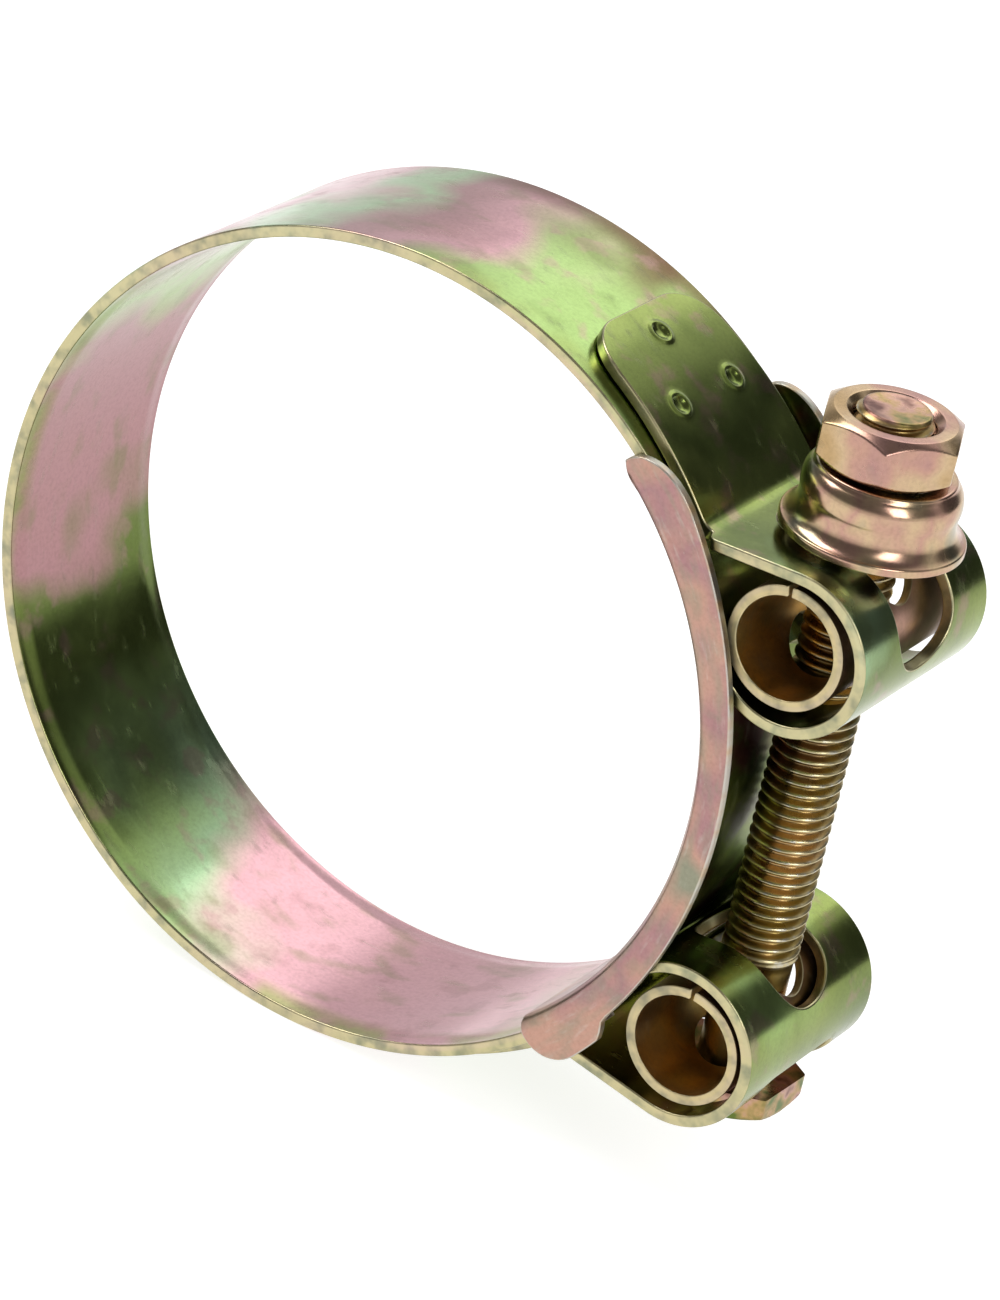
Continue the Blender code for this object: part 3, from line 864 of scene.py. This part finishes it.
def hexagon_radius(theta, turn):
    """Radius of a hexagon with slightly rounded corners; a corner is at the turn angle."""
    sharpness = 70
    total = 0.0
    for i in range(6):
        across = math.cos(theta - math.radians(turn + 30 + 60 * i))
        if across > 0:
            total += across ** sharpness
    return HEX_FLATS / 2 / total ** (1 / sharpness)


def softer_least(a, b):
    """The smaller of two radii, with a small rounding where they are nearly the same."""
    sharpness = 110
    scale = min(a, b)
    return scale * ((scale / a) ** sharpness + (scale / b) ** sharpness) ** (-1 / sharpness)


def hexagon_columns(turn, per_side):
    """Directions round a hexagon, closest together at its corners."""
    angles = []
    for side in range(6):
        for i in range(per_side):
            part = i / per_side
            part -= CORNER_CROWDING * math.sin(2 * math.pi * part) / (2 * math.pi)
            angles.append(math.radians(turn + 60 * (side + part)))
    return angles


def turned_skin(profile, columns, centre, shape=None, closed=False, crest=None):
    """A skin from a (radius, z) profile; shape(theta, radius, z) alters the radius.

    crest(radius) is stored as the third strip value, for materials that pale the crests, partly as
    wear and partly as a painted highlight.
    """
    shape = shape or (lambda theta, radius, z: radius)
    crest = crest or (lambda radius: 1.0)
    skin = Skin()
    count = len(profile)
    radii = np.zeros((count, len(columns)))
    for i, (radius, z) in enumerate(profile):
        for j, theta in enumerate(columns):
            radii[i, j] = shape(theta, radius, z)
    cosines, sines = np.cos(columns), np.sin(columns)
    heights = np.array([z for _, z in profile])
    points = np.stack((centre[0] + radii * cosines, centre[1] + radii * sines,
                       np.repeat(heights[:, None], len(columns), 1)), -1)
    if closed:
        along = np.roll(points, -1, 0) - np.roll(points, 1, 0)
    else:
        along = np.gradient(points, axis=0)
    around = np.roll(points, -1, 1) - np.roll(points, 1, 1)
    normals = np.cross(around, along)
    sizes = np.linalg.norm(normals, axis=-1, keepdims=True)
    straight = np.zeros_like(normals)
    straight[..., 2] = 1.0
    normals = np.where(sizes > 1e-9, normals / np.maximum(sizes, 1e-9), straight)
    away = (points - (points.min((0, 1)) + points.max((0, 1))) / 2)[..., :2]
    widest = np.unravel_index(np.hypot(away[..., 0], away[..., 1]).argmax(), radii.shape)
    if away[widest] @ normals[widest][:2] < 0:
        normals = -normals
    if not closed:
        for end in (0, -1):
            normals[end] = (0.0, 0.0, 1.0 if heights[end] > heights.mean() else -1.0)
    grid = []
    for i in range(count):
        grid.append([skin.add(points[i, j], normals[i, j],
                              (math.degrees(theta) % 360, heights[i], crest(radii[i, j])))
                     for j, theta in enumerate(columns)])
    skin.add_grid(grid, closed_u=closed, closed_v=True)
    if not closed:
        skin.faces += [tuple(grid[0]), tuple(grid[-1][::-1])]
    return skin


def line_points(stops, spacing):
    """Points along straight runs between stops, with each stop doubled as a crisp edge."""
    points = []
    crisp = 0.04
    for a, b in zip(stops, stops[1:]):
        a, b = np.array(a, float), np.array(b, float)
        length = np.hypot(*(b - a))
        count = max(1, int(round((length - 2 * crisp) / spacing)))
        inside = np.linspace(min(crisp / length, 0.4), 1 - min(crisp / length, 0.4), count + 1)
        points += [tuple(a + (b - a) * t) for t in inside]
    return points


def build_bolt(material):
    head_bottom = BOLT_LOW.z
    head_top = head_bottom + HEAD_HEIGHT
    tip = BOLT_HIGH.z
    rise = (HEX_REACH - HEAD_FLAT) * math.tan(HEAD_CHAMFER)
    profile = line_points([(AXIS_HOLE, head_bottom), (HEAD_FLAT, head_bottom),
                           (HEX_REACH, head_bottom + rise), (HEX_REACH, head_top),
                           (SHANK_RADIUS + SHANK_FILLET, head_top)], 0.35)
    profile += [(SHANK_RADIUS + SHANK_FILLET * (1 - math.sin(a)),
                 head_top + SHANK_FILLET * (1 - math.cos(a)))
                for a in np.linspace(0.2, math.pi / 2, 5)]
    profile += [(SHANK_RADIUS, z) for z in np.arange(head_top + 0.6, THREAD_START - 0.2, 0.6)]
    run = tip - THREAD_SHORT - THREAD_START
    count = int(run / PITCH * THREAD_STEPS)
    profile += [(THREAD_MAJOR, THREAD_START + run * i / count) for i in range(count + 1)]
    profile += [(TIP_RADIUS + outwards, tip - down) for outwards, down in TIP_ROUNDING]
    profile += [(r, tip - TIP_BOW * (1 - (r / TIP_RADIUS) ** 2) - TIP_SHORT)
                for r in np.linspace(TIP_RADIUS - 0.5, AXIS_HOLE, 9)]
    root = THREAD_MAJOR - THREAD_DEPTH

    def shape(theta, radius, z):
        if z < head_top + NARROW:
            if radius < HEAD_ROUND:
                return radius
            return softer_least(radius, hexagon_radius(theta, HEAD_TURN))
        if z < THREAD_START or radius < THREAD_MAJOR - NARROW:
            return radius
        depth = THREAD_DEPTH * smooth_step(z, THREAD_START, THREAD_START + THREAD_RUN_IN)
        cut = THREAD_MAJOR - depth * (1 - thread_height(theta, z))
        return min(cut, TIP_RADIUS + tip - z)

    def crest(radius):
        if radius < root - 0.05:
            return TIP_CREST
        return min(max((radius - root) / THREAD_DEPTH, 0.0), 1.0)

    columns = hexagon_columns(HEAD_TURN, 12)
    skin = turned_skin(profile, columns, (BOLT_X, 0.0), shape, crest=crest)
    piece = make_piece("bolt_screw", skin, material)
    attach(piece, "screw")
    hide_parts("bolt")


def build_nut(material):
    bottom, top = NUT_LOW.z, NUT_HIGH.z
    rise = (HEX_REACH - NUT_FLAT) * math.tan(NUT_CHAMFER)
    profile = line_points([(NUT_BORE, bottom), (NUT_FLAT, bottom), (HEX_REACH, bottom + rise),
                           (HEX_REACH, top - rise), (NUT_FLAT, top), (NUT_MOUTH, top),
                           (NUT_BORE, top - NUT_MOUTH_DEPTH)], 0.22)
    profile += [(NUT_BORE, z) for z in np.linspace(top - NUT_MOUTH_DEPTH - 0.1, bottom + 0.1, 45)]

    def shape(theta, radius, z):
        if radius > NUT_ROUND:
            return softer_least(radius, hexagon_radius(theta, NUT_TURN))
        if radius <= NUT_BORE and bottom + 0.05 < z < top - 0.8:
            fade = smooth_step(z, bottom, bottom + 0.5) * smooth_step(-z, 0.8 - top, 1.3 - top)
            return radius + NUT_THREAD_DEPTH * fade * (1 - thread_height(theta, z))
        return radius

    skin = turned_skin(profile, hexagon_columns(NUT_TURN, 18), (BOLT_X, 0.0), shape, closed=True)
    piece = make_piece("hex_nut", skin, material)
    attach(piece, "nut")
    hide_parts("nut")


def chaikin(points, rounds):
    """Rounds a closed outline by cutting its corners again and again."""
    points = [np.array(p, float) for p in points]
    for _ in range(rounds):
        cut = []
        for a, b in zip(points, points[1:] + points[:1]):
            cut += [a * 0.75 + b * 0.25, a * 0.25 + b * 0.75]
        points = cut
    return points


def build_collar(material):
    bottom, top = COLLAR_LOW.z, COLLAR_HIGH.z
    rim = (COLLAR_HIGH.x - COLLAR_LOW.x) / 2
    outer = [(rim, bottom), (rim, bottom + 0.35), (rim, bottom + 0.85), (rim - 0.35, bottom + 0.98),
             (8.3, bottom + 1.3), (7.85, bottom + 1.9), (7.66, bottom + 2.7), (7.66, bottom + 3.5),
             (7.8, bottom + 4.2), (7.8, bottom + 5.0), (7.65, bottom + 5.7), (7.3, bottom + 6.25),
             (6.95, bottom + 6.6), (6.8, top), (6.3, top)]
    inner = [(4.9, top), (4.9, top - 0.8), (5.6, top - 1.1), (6.3, top - 1.9), (6.7, top - 2.8),
             (6.7, bottom + 2.4), (7.0, bottom + 1.2), (7.7, bottom + 0.3), (8.2, bottom)]
    profile = [tuple(point) for point in chaikin(outer + inner, 3)]
    columns = [2 * math.pi * i / 144 for i in range(144)]
    skin = turned_skin(profile, columns, COLLAR_CENTRE, closed=True)
    piece = make_piece("bell_collar", skin, material)
    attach(piece, "upper_pin")
    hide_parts("collar")


# ---------------------------------------------------------------- materials

def linear(red, green, blue):
    """A display colour, 0 to 255, as linear light."""
    def channel(value):
        value /= 255
        return value / 12.92 if value <= 0.04045 else ((value + 0.055) / 1.055) ** 2.4
    return channel(red), channel(green), channel(blue), 1.0


class Nodes:
    """Adds nodes to the tree of a material or a world."""

    def __init__(self, tree):
        self.tree = tree

    def node(self, kind, inputs=None, **settings):
        """A new node; inputs goes from its sockets' names or numbers to values or sockets."""
        made = self.tree.nodes.new(kind)
        for key, value in settings.items():
            setattr(made, key, value)
        for key, value in (inputs or {}).items():
            self.connect(value, made.inputs[key])
        return made

    def connect(self, value, socket):
        if isinstance(value, bpy.types.NodeSocket):
            self.tree.links.new(value, socket)
        else:
            socket.default_value = value

    def math(self, operation, a, b):
        return self.node("ShaderNodeMath", {0: a, 1: b}, operation=operation).outputs[0]

    def range(self, value, low, high, new_low=0.0, new_high=1.0):
        inputs = dict(enumerate((value, low, high, new_low, new_high)))
        return self.node("ShaderNodeMapRange", inputs,
                         interpolation_type="SMOOTHSTEP").outputs[0]


class Shader(Nodes):
    """Builds one material's node tree."""

    def __init__(self, name):
        self.material = bpy.data.materials.new(name)
        self.material.use_nodes = True
        super().__init__(self.material.node_tree)
        self.surface = self.tree.nodes["Principled BSDF"]

    def mix(self, factor, a, b, blend="MIX"):
        return self.node("ShaderNodeMix", {0: factor, 6: a, 7: b}, data_type="RGBA",
                         blend_type=blend).outputs[2]

    def vector(self, x, y, z):
        return self.node("ShaderNodeCombineXYZ", {0: x, 1: y, 2: z}).outputs[0]

    def by_face(self, strip, lower, upper):
        """One colour on the sheet's -1 face and another on its +1 face."""
        return self.mix(self.range(strip[2], -FACE_FADE, FACE_FADE), lower, upper)

    def attribute(self, name):
        return self.node("ShaderNodeAttribute", attribute_name=name).outputs

    def noise(self, vector, scale, detail=2.0, stretch=(1.0, 1.0, 1.0)):
        mapping = self.node("ShaderNodeMapping", {"Vector": vector, "Scale": stretch})
        inputs = {"Vector": mapping.outputs[0], "Scale": scale, "Detail": detail}
        return self.node("ShaderNodeTexNoise", inputs).outputs[0]

    def ramp(self, factor, stops):
        made = self.node("ShaderNodeValToRGB", {"Fac": factor})
        elements = made.color_ramp.elements
        for place, _ in stops[2:]:
            elements.new(place)
        for element, (place, colour) in zip(elements, sorted(stops, key=lambda stop: stop[0])):
            element.position = place
            element.color = colour
        return made.outputs[0]


FACE_FADE = 0.4

# Interference colours of yellow passivation, and bare metal.
PINK = linear(196, 152, 158)
ROSE = linear(164, 124, 126)
SALMON = linear(186, 146, 130)
SAND = linear(196, 170, 136)
GOLD = linear(186, 168, 100)
OLIVE = linear(132, 146, 78)
GREEN = linear(146, 172, 104)
MINT = linear(158, 188, 146)
MOSS = linear(98, 114, 56)
BRONZE = linear(122, 98, 66)
BRASS = linear(146, 126, 72)
UMBER = linear(96, 66, 44)
WINE = linear(104, 66, 58)
SILVER = linear(198, 196, 186)
STONE = linear(142, 142, 122)
CREAM = linear(204, 192, 152)
# Painted light, not a film colour: a bright amber that makes the tubes' shaded bores look lit.
PAINTED_LIGHT_AMBER = linear(210, 166, 90)
TAN = linear(176, 146, 100)


# Strength of a painted sheen: patches painted paler towards silver.
PATCH_SHEEN_PAINT = 0.2
GRIME = 0.14
CUT_WEAR = 0.8
RUB_WEAR = 0.35
SPECK_WEAR = 0.3
BUMP_HEIGHT = 0.0001


def plated_steel(name, colour, cut_colours, roughness, scratch=0.5):
    """Finishes a zinc-plated surface.

    colour(shader, rest, strip) gives the film's colour. Cut edges run between their own two
    colours with fine shear lines, rub marks catch the light, roughness varies in patches, and
    the same patches are painted paler as a painted sheen.
    """
    shader = Shader(name)
    rest = shader.attribute("rest")["Vector"]
    strip = shader.node("ShaderNodeSeparateXYZ", {0: shader.attribute("strip")["Vector"]}).outputs
    edge = shader.attribute("edge")["Fac"]
    base = colour(shader, rest, strip)
    cloud = shader.noise(rest, 0.16, 3.0)
    # Painted sheen: the cloud's patches are painted paler towards silver; the roughness below
    # follows the same cloud.
    painted_sheen = shader.range(cloud, 0.35, 0.7, 0.0, PATCH_SHEEN_PAINT)
    base = shader.mix(painted_sheen, base, SILVER, "SOFT_LIGHT")
    fine = shader.noise(rest, 2.4, 4.0)
    base = shader.mix(shader.range(fine, 0.35, 0.8, 0.0, GRIME), base, UMBER, "MULTIPLY")
    on_cut = shader.range(edge, 0.02, 0.16, 1.0, 0.0)
    shear = shader.noise(rest, 0.12, 2.0, (5.0, 0.5, 5.0))
    cut = shader.mix(shader.range(shear, 0.2, 0.62), cut_colours[0], cut_colours[1])
    base = shader.mix(shader.math("MULTIPLY", on_cut, CUT_WEAR), base, cut)
    marks = shader.noise(rest, 0.35, 7.0, (1.0, 2.0, 1.0))
    rub = shader.range(marks, 0.56, 0.72)
    base = shader.mix(shader.math("MULTIPLY", rub, RUB_WEAR * scratch), base, STONE)
    specks = shader.range(shader.noise(rest, 2.8, 5.0), 0.68, 0.78)
    base = shader.mix(shader.math("MULTIPLY", specks, SPECK_WEAR * scratch), base, SILVER)
    rough = shader.math("ADD", roughness, shader.range(cloud, 0.3, 0.75, -0.03, 0.06))
    rough = shader.math("ADD", rough, shader.math("MULTIPLY", rub, 0.1))
    rough = shader.math("ADD", rough, shader.math("MULTIPLY", on_cut, 0.12))
    line_place = shader.vector(shader.math("MULTIPLY", strip[0], 0.02), strip[1], strip[2])
    lines = shader.noise(line_place, 5.0, 5.0, (1.0, 2.2, 1.0))
    height = shader.math("ADD", shader.math("MULTIPLY", lines, 0.35),
                         shader.math("MULTIPLY", shader.noise(rest, 6.0, 3.0), 0.4))
    torn = shader.math("MULTIPLY", on_cut, 1.5)
    height = shader.math("ADD", height, shader.math("MULTIPLY", shear, torn))
    bump = shader.node("ShaderNodeBump", {"Strength": 0.12 * scratch + 0.02,
                                          "Distance": BUMP_HEIGHT, "Height": height})
    finish = {"Base Color": base, "Roughness": rough, "Metallic": 1.0,
              "Normal": bump.outputs[0]}
    for socket, value in finish.items():
        shader.connect(value, shader.surface.inputs[socket])
    return shader.material


RING_DEGREES_LOW = -70.0
RING_DEGREES_SPAN = 500.0


HOSE_SIDE = (
    (-64, OLIVE), (-52, MOSS), (-45, OLIVE), (-34, MOSS), (-28, MINT), (-20, MINT), (-12, MOSS),
    (2, OLIVE), (12, GREEN), (22, OLIVE), (60, PINK), (100, GREEN), (130, ROSE), (148, GREEN),
    (160, ROSE), (190, ROSE), (200, MOSS), (216, MOSS), (226, GREEN), (243, MINT), (256, PINK),
    (305, PINK), (328, OLIVE), (344, GREEN), (356, OLIVE), (372, MOSS), (400, OLIVE))
OUTER_SIDE = (
    (-60, GOLD), (-28, OLIVE), (-5, MOSS), (24, GREEN), (66, GREEN), (82, GREEN), (90, PINK),
    (102, ROSE), (110, MINT), (118, PINK), (128, PINK), (136, MINT), (170, GOLD), (205, PINK),
    (240, GREEN), (270, PINK), (300, OLIVE), (340, GOLD), (400, OLIVE))


def ring_ramp(shader, factor, stops):
    """Film colours along the band, from stops in degrees round the ring."""
    return shader.ramp(factor, [((degrees - RING_DEGREES_LOW) / RING_DEGREES_SPAN, colour)
                                for degrees, colour in stops])


def band_colour(shader, rest, strip):
    """The film drifts slowly in thickness along the strip, differently on its two faces."""
    along, across = strip[0], strip[1]
    drift = shader.noise(rest, 0.055, 2.0)
    shift = shader.range(drift, 0.25, 0.75, -9.0, 9.0)
    slant = shader.math("MULTIPLY", across, 0.35)
    place = shader.math("ADD", shader.math("ADD", along, shift), slant)
    factor = shader.math("DIVIDE", shader.math("SUBTRACT", place, RING_DEGREES_LOW),
                         RING_DEGREES_SPAN)
    hose_side = ring_ramp(shader, factor, HOSE_SIDE)
    outer_side = ring_ramp(shader, factor, OUTER_SIDE)
    spot = shader.math("MULTIPLY", shader.range(place, 66.0, 76.0), shader.range(place, 88.0, 78.0))
    spot = shader.math("MULTIPLY", spot, shader.range(across, 0.0, 9.0, 0.0, 0.8))
    outer_side = shader.mix(spot, outer_side, UMBER)
    far_rim = shader.math("MULTIPLY", shader.range(across, 8.0, 11.5, 0.0, 0.75),
                          shader.range(place, 114.0, 96.0))
    outer_side = shader.mix(far_rim, outer_side, UMBER)
    faces = shader.by_face(strip, hose_side, outer_side)
    near_edge = shader.range(across, -11.6, -8.6, 0.75, 0.0)
    streak = shader.range(shader.noise(rest, 0.11, 2.0), 0.38, 0.6)
    faces = shader.mix(shader.math("MULTIPLY", near_edge, streak), faces, OLIVE)
    blush = shader.range(shader.noise(rest, 0.24, 3.0), 0.54, 0.68, 0.0, 0.4)
    faces = shader.mix(blush, faces, ROSE)
    stain = shader.range(shader.noise(rest, 0.17, 2.0, (1.0, 1.6, 1.0)), 0.52, 0.74, 0.0, 0.35)
    return shader.mix(stain, faces, MOSS)


def banded_colour(stops, scale, spread):
    """A film colour that wanders through a few stops in soft patches."""
    def colour(shader, rest, strip):
        drift = shader.noise(rest, scale, 2.5)
        factor = shader.range(drift, 0.5 - 0.25 * spread, 0.5 + 0.25 * spread)
        count = len(stops) - 1
        return shader.ramp(factor, [(i / count, stop) for i, stop in enumerate(stops)])
    return colour


def bridge_colour(shader, rest, strip):
    """Pinkish outside the channel and greener inside it, with scuffs that run lengthwise."""
    along = shader.vector(shader.math("MULTIPLY", strip[0], 0.16), strip[1], strip[2])
    scuffs = shader.noise(along, 0.9, 5.0)
    outside = shader.ramp(shader.noise(rest, 0.1, 2.0), [
        (0.32, SALMON), (0.48, ROSE), (0.6, SALMON), (0.74, STONE)])
    outside = shader.mix(shader.range(scuffs, 0.4, 0.75, 0.0, 0.5), outside, STONE)
    flakes = shader.range(shader.noise(along, 1.6, 6.0), 0.54, 0.74, 0.0, 0.25)
    outside = shader.mix(flakes, outside, SILVER)
    inside = shader.ramp(shader.noise(rest, 0.14, 3.0), [
        (0.36, WINE), (0.48, MOSS), (0.6, OLIVE), (0.7, STONE)])
    return shader.by_face(strip, outside, inside)


def thread_colour(shader, rest, strip):
    """Bronze film with paler crests, partly rubbed wear and partly a painted highlight, and painted
    glints on them; the third strip value is the crest's height.
    """
    root = shader.ramp(shader.noise(rest, 0.12, 3.0), [
        (0.36, BRONZE), (0.5, BRASS), (0.64, TAN)])
    # Paler crests: partly rubbed wear, partly a painted highlight where the crests catch the light.
    crest = shader.range(strip[2], 0.6, 1.0, 0.0, 0.85)
    thread = shader.mix(crest, root, CREAM)
    # Painted glints: silver specks of painted light on the crests.
    glint = shader.range(shader.noise(rest, 1.3, 4.0), 0.5, 0.68)
    thread = shader.mix(shader.math("MULTIPLY", glint, crest), thread, SILVER)
    ends = shader.ramp(shader.noise(rest, 0.3, 3.0), [
        (0.34, WINE), (0.46, SALMON), (0.54, TAN), (0.66, MOSS)])
    head = shader.range(strip[1], BOLT_LOW.z + HEAD_HEIGHT + 0.3, BOLT_LOW.z + HEAD_HEIGHT)
    tip = shader.range(strip[1], BOLT_HIGH.z - 0.3, BOLT_HIGH.z - 0.1)
    return shader.mix(shader.math("MAXIMUM", head, tip), thread, ends)


def tube_colour(shader, rest, strip):
    """Brown outside, where the band covers it, and a bright amber inside: painted light that makes
    the shaded bore look lit.
    """
    drift = shader.noise(rest, 0.09, 2.5)
    outside = shader.ramp(drift, [(0.3, WINE), (0.42, BRONZE), (0.55, SALMON), (0.7, BRONZE)])
    # Painted light: the bore is coloured a bright amber so that its shaded inside looks lit.
    inside = shader.ramp(drift, [(0.36, TAN), (0.5, PAINTED_LIGHT_AMBER), (0.64, GOLD)])
    return shader.by_face(strip, outside, inside)


def build_materials():
    cut = (STONE, CREAM)
    return {
        "band": plated_steel("band_steel", band_colour, cut, 0.19, scratch=0.35),
        "bridge": plated_steel("bridge_steel", bridge_colour, (SAND, SILVER), 0.3, scratch=0.8),
        "tube": plated_steel("trunnion_steel", tube_colour, cut, 0.34),
        "bolt": plated_steel("bolt_steel", thread_colour, cut, 0.28, scratch=0.6),
        "nut": plated_steel("nut_steel", banded_colour((ROSE, SALMON, SAND, TAN), 0.14, 1.2), cut,
                            0.24),
        "collar": plated_steel("collar_steel",
                               banded_colour((STONE, SAND, SALMON, SAND, STONE, OLIVE), 0.14, 1.4),
                               cut, 0.2, scratch=0.3),
    }


# ---------------------------------------------------------------- studio

WHITE = (1.0, 1.0, 1.0, 1.0)
FLOOR_HALF = 2.0
FLOOR_TONES = (0.50, 0.52)
FLOOR_GLOW = 0.8


def build_floor():
    """A plain pale floor under the clamp."""
    mesh = bpy.data.meshes.new("floor")
    height = min(BACK_LOW.z, BOLT_LOW.z) * MM
    corners = [(x * FLOOR_HALF, y * FLOOR_HALF, height) for x, y in
               ((-1, -1), (1, -1), (1, 1), (-1, 1))]
    mesh.from_pydata(corners, [], [(0, 1, 2, 3)])
    floor = bpy.data.objects.new("floor", mesh)
    bpy.context.scene.collection.objects.link(floor)
    shader = Shader("floor_paint")
    place = shader.node("ShaderNodeTexCoord").outputs["Object"]
    tone = shader.range(shader.noise(place, 3.0), 0.3, 0.7, *FLOOR_TONES)
    colour = shader.node("ShaderNodeCombineColor", {0: tone, 1: tone, 2: tone}).outputs[0]
    paint = {"Base Color": colour, "Roughness": 0.9, "Specular IOR Level": 0.0,
             "Emission Color": WHITE, "Emission Strength": FLOOR_GLOW}
    for socket, value in paint.items():
        shader.connect(value, shader.surface.inputs[socket])
    mesh.materials.append(shader.material)


ROOM_BRIGHTNESS = 0.9
CEILING_BRIGHTNESS = 0.16
GAP_BRIGHTNESS = 0.09
WALL_RISE = (0.25, 0.6)
HORIZON_FALL = (0.05, 0.35)
GAP_EDGE = (0.89, 0.955)
DARK_SIDE = Vector((0.48, 0.79, 0.26)).normalized()


def build_world():
    """A white wall behind the clamp and a pale horizon, under a dim ceiling.

    The wall ends on the right, where a dark gap gives the bright metal its contrast.
    """
    world = bpy.data.worlds.new("studio")
    world.use_nodes = True
    bpy.context.scene.world = world
    sky = Nodes(world.node_tree)
    direction = sky.node("ShaderNodeTexCoord").outputs["Generated"]
    _, depth, height = sky.node("ShaderNodeSeparateXYZ", {0: direction}).outputs
    wall = sky.range(depth, *WALL_RISE, CEILING_BRIGHTNESS, ROOM_BRIGHTNESS)
    horizon = sky.range(height, *HORIZON_FALL, ROOM_BRIGHTNESS, CEILING_BRIGHTNESS)
    toward = sky.node("ShaderNodeVectorMath", {0: direction, 1: DARK_SIDE},
                      operation="DOT_PRODUCT").outputs["Value"]
    gap = sky.range(toward, *GAP_EDGE, 1.0, GAP_BRIGHTNESS)
    light = sky.math("MULTIPLY", sky.math("MAXIMUM", wall, horizon), gap)
    background = sky.tree.nodes["Background"]
    sky.connect(WHITE, background.inputs[0])
    sky.connect(light, background.inputs[1])


# Name, place, width, height and watts.
SOFTBOXES = (
    ("window_light", (-0.75, -0.2, 1.1), 0.6, 0.8, 9.0),
    ("side_light", (1.0, -0.6, 0.8), 0.5, 0.9, 7.0),
    ("back_light", (-0.3, 1.1, 1.0), 0.9, 0.6, 2.0),
)


def add_softbox(name, place, width, height, watts):
    """A rectangular soft light that faces the clamp."""
    lamp = bpy.data.lights.new(name, "AREA")
    lamp.shape = "RECTANGLE"
    lamp.size = width
    lamp.size_y = height
    lamp.energy = watts
    obj = bpy.data.objects.new(name, lamp)
    obj.location = place
    obj.rotation_mode = "QUATERNION"
    obj.rotation_quaternion = (-Vector(place)).to_track_quat("-Z", "Y")
    bpy.context.scene.collection.objects.link(obj)


CAMERA_AIM = Vector((0.00996, 0.0, 0.00029))
CAMERA_DISTANCE = 0.56976
CAMERA_AZIMUTH = 27.252
CAMERA_ELEVATION = 27.652
CAMERA_ROLL = 12.635
CAMERA_LENS = 159.77


def build_camera():
    """The camera's long lens, rolled a little so that the bolt leans to the right."""
    azimuth = math.radians(CAMERA_AZIMUTH)
    elevation = math.radians(CAMERA_ELEVATION)
    back = Vector((math.sin(azimuth) * math.cos(elevation),
                   -math.cos(azimuth) * math.cos(elevation), math.sin(elevation)))
    level = Vector((math.cos(azimuth), math.sin(azimuth), 0.0))
    rise = back.cross(level)
    roll = math.radians(CAMERA_ROLL)
    right = level * math.cos(roll) + rise * math.sin(roll)
    up = back.cross(right)
    data = bpy.data.cameras.new("camera")
    data.lens = CAMERA_LENS
    data.sensor_width = 36.0
    data.clip_start = 0.05
    data.clip_end = 20.0
    camera = bpy.data.objects.new("camera", data)
    place = Matrix((right, up, back)).transposed().to_4x4()
    place.translation = CAMERA_AIM + back * CAMERA_DISTANCE
    camera.matrix_world = place
    bpy.context.scene.collection.objects.link(camera)
    bpy.context.scene.camera = camera


def build_studio():
    build_floor()
    build_world()
    for softbox in SOFTBOXES:
        add_softbox(*softbox)
    build_camera()
    bpy.context.scene.view_settings.view_transform = "Standard"


def build_clamp():
    steel = build_materials()
    build_band(steel["band"])
    build_bridge(steel["bridge"])
    build_tube("upper_tube", UPPER_PIN, UPPER_SEAM_ANGLE, UPPER_HOLE_RADIUS, "upper_pin",
               "upper_trunnion", steel["tube"])
    build_tube("lower_tube", LOWER_PIN, LOWER_SEAM_ANGLE, LOWER_HOLE_RADIUS, "screw",
               "lower_trunnion", steel["tube"])
    build_bolt(steel["bolt"])
    build_nut(steel["nut"])
    build_collar(steel["collar"])


build_clamp()
build_studio()
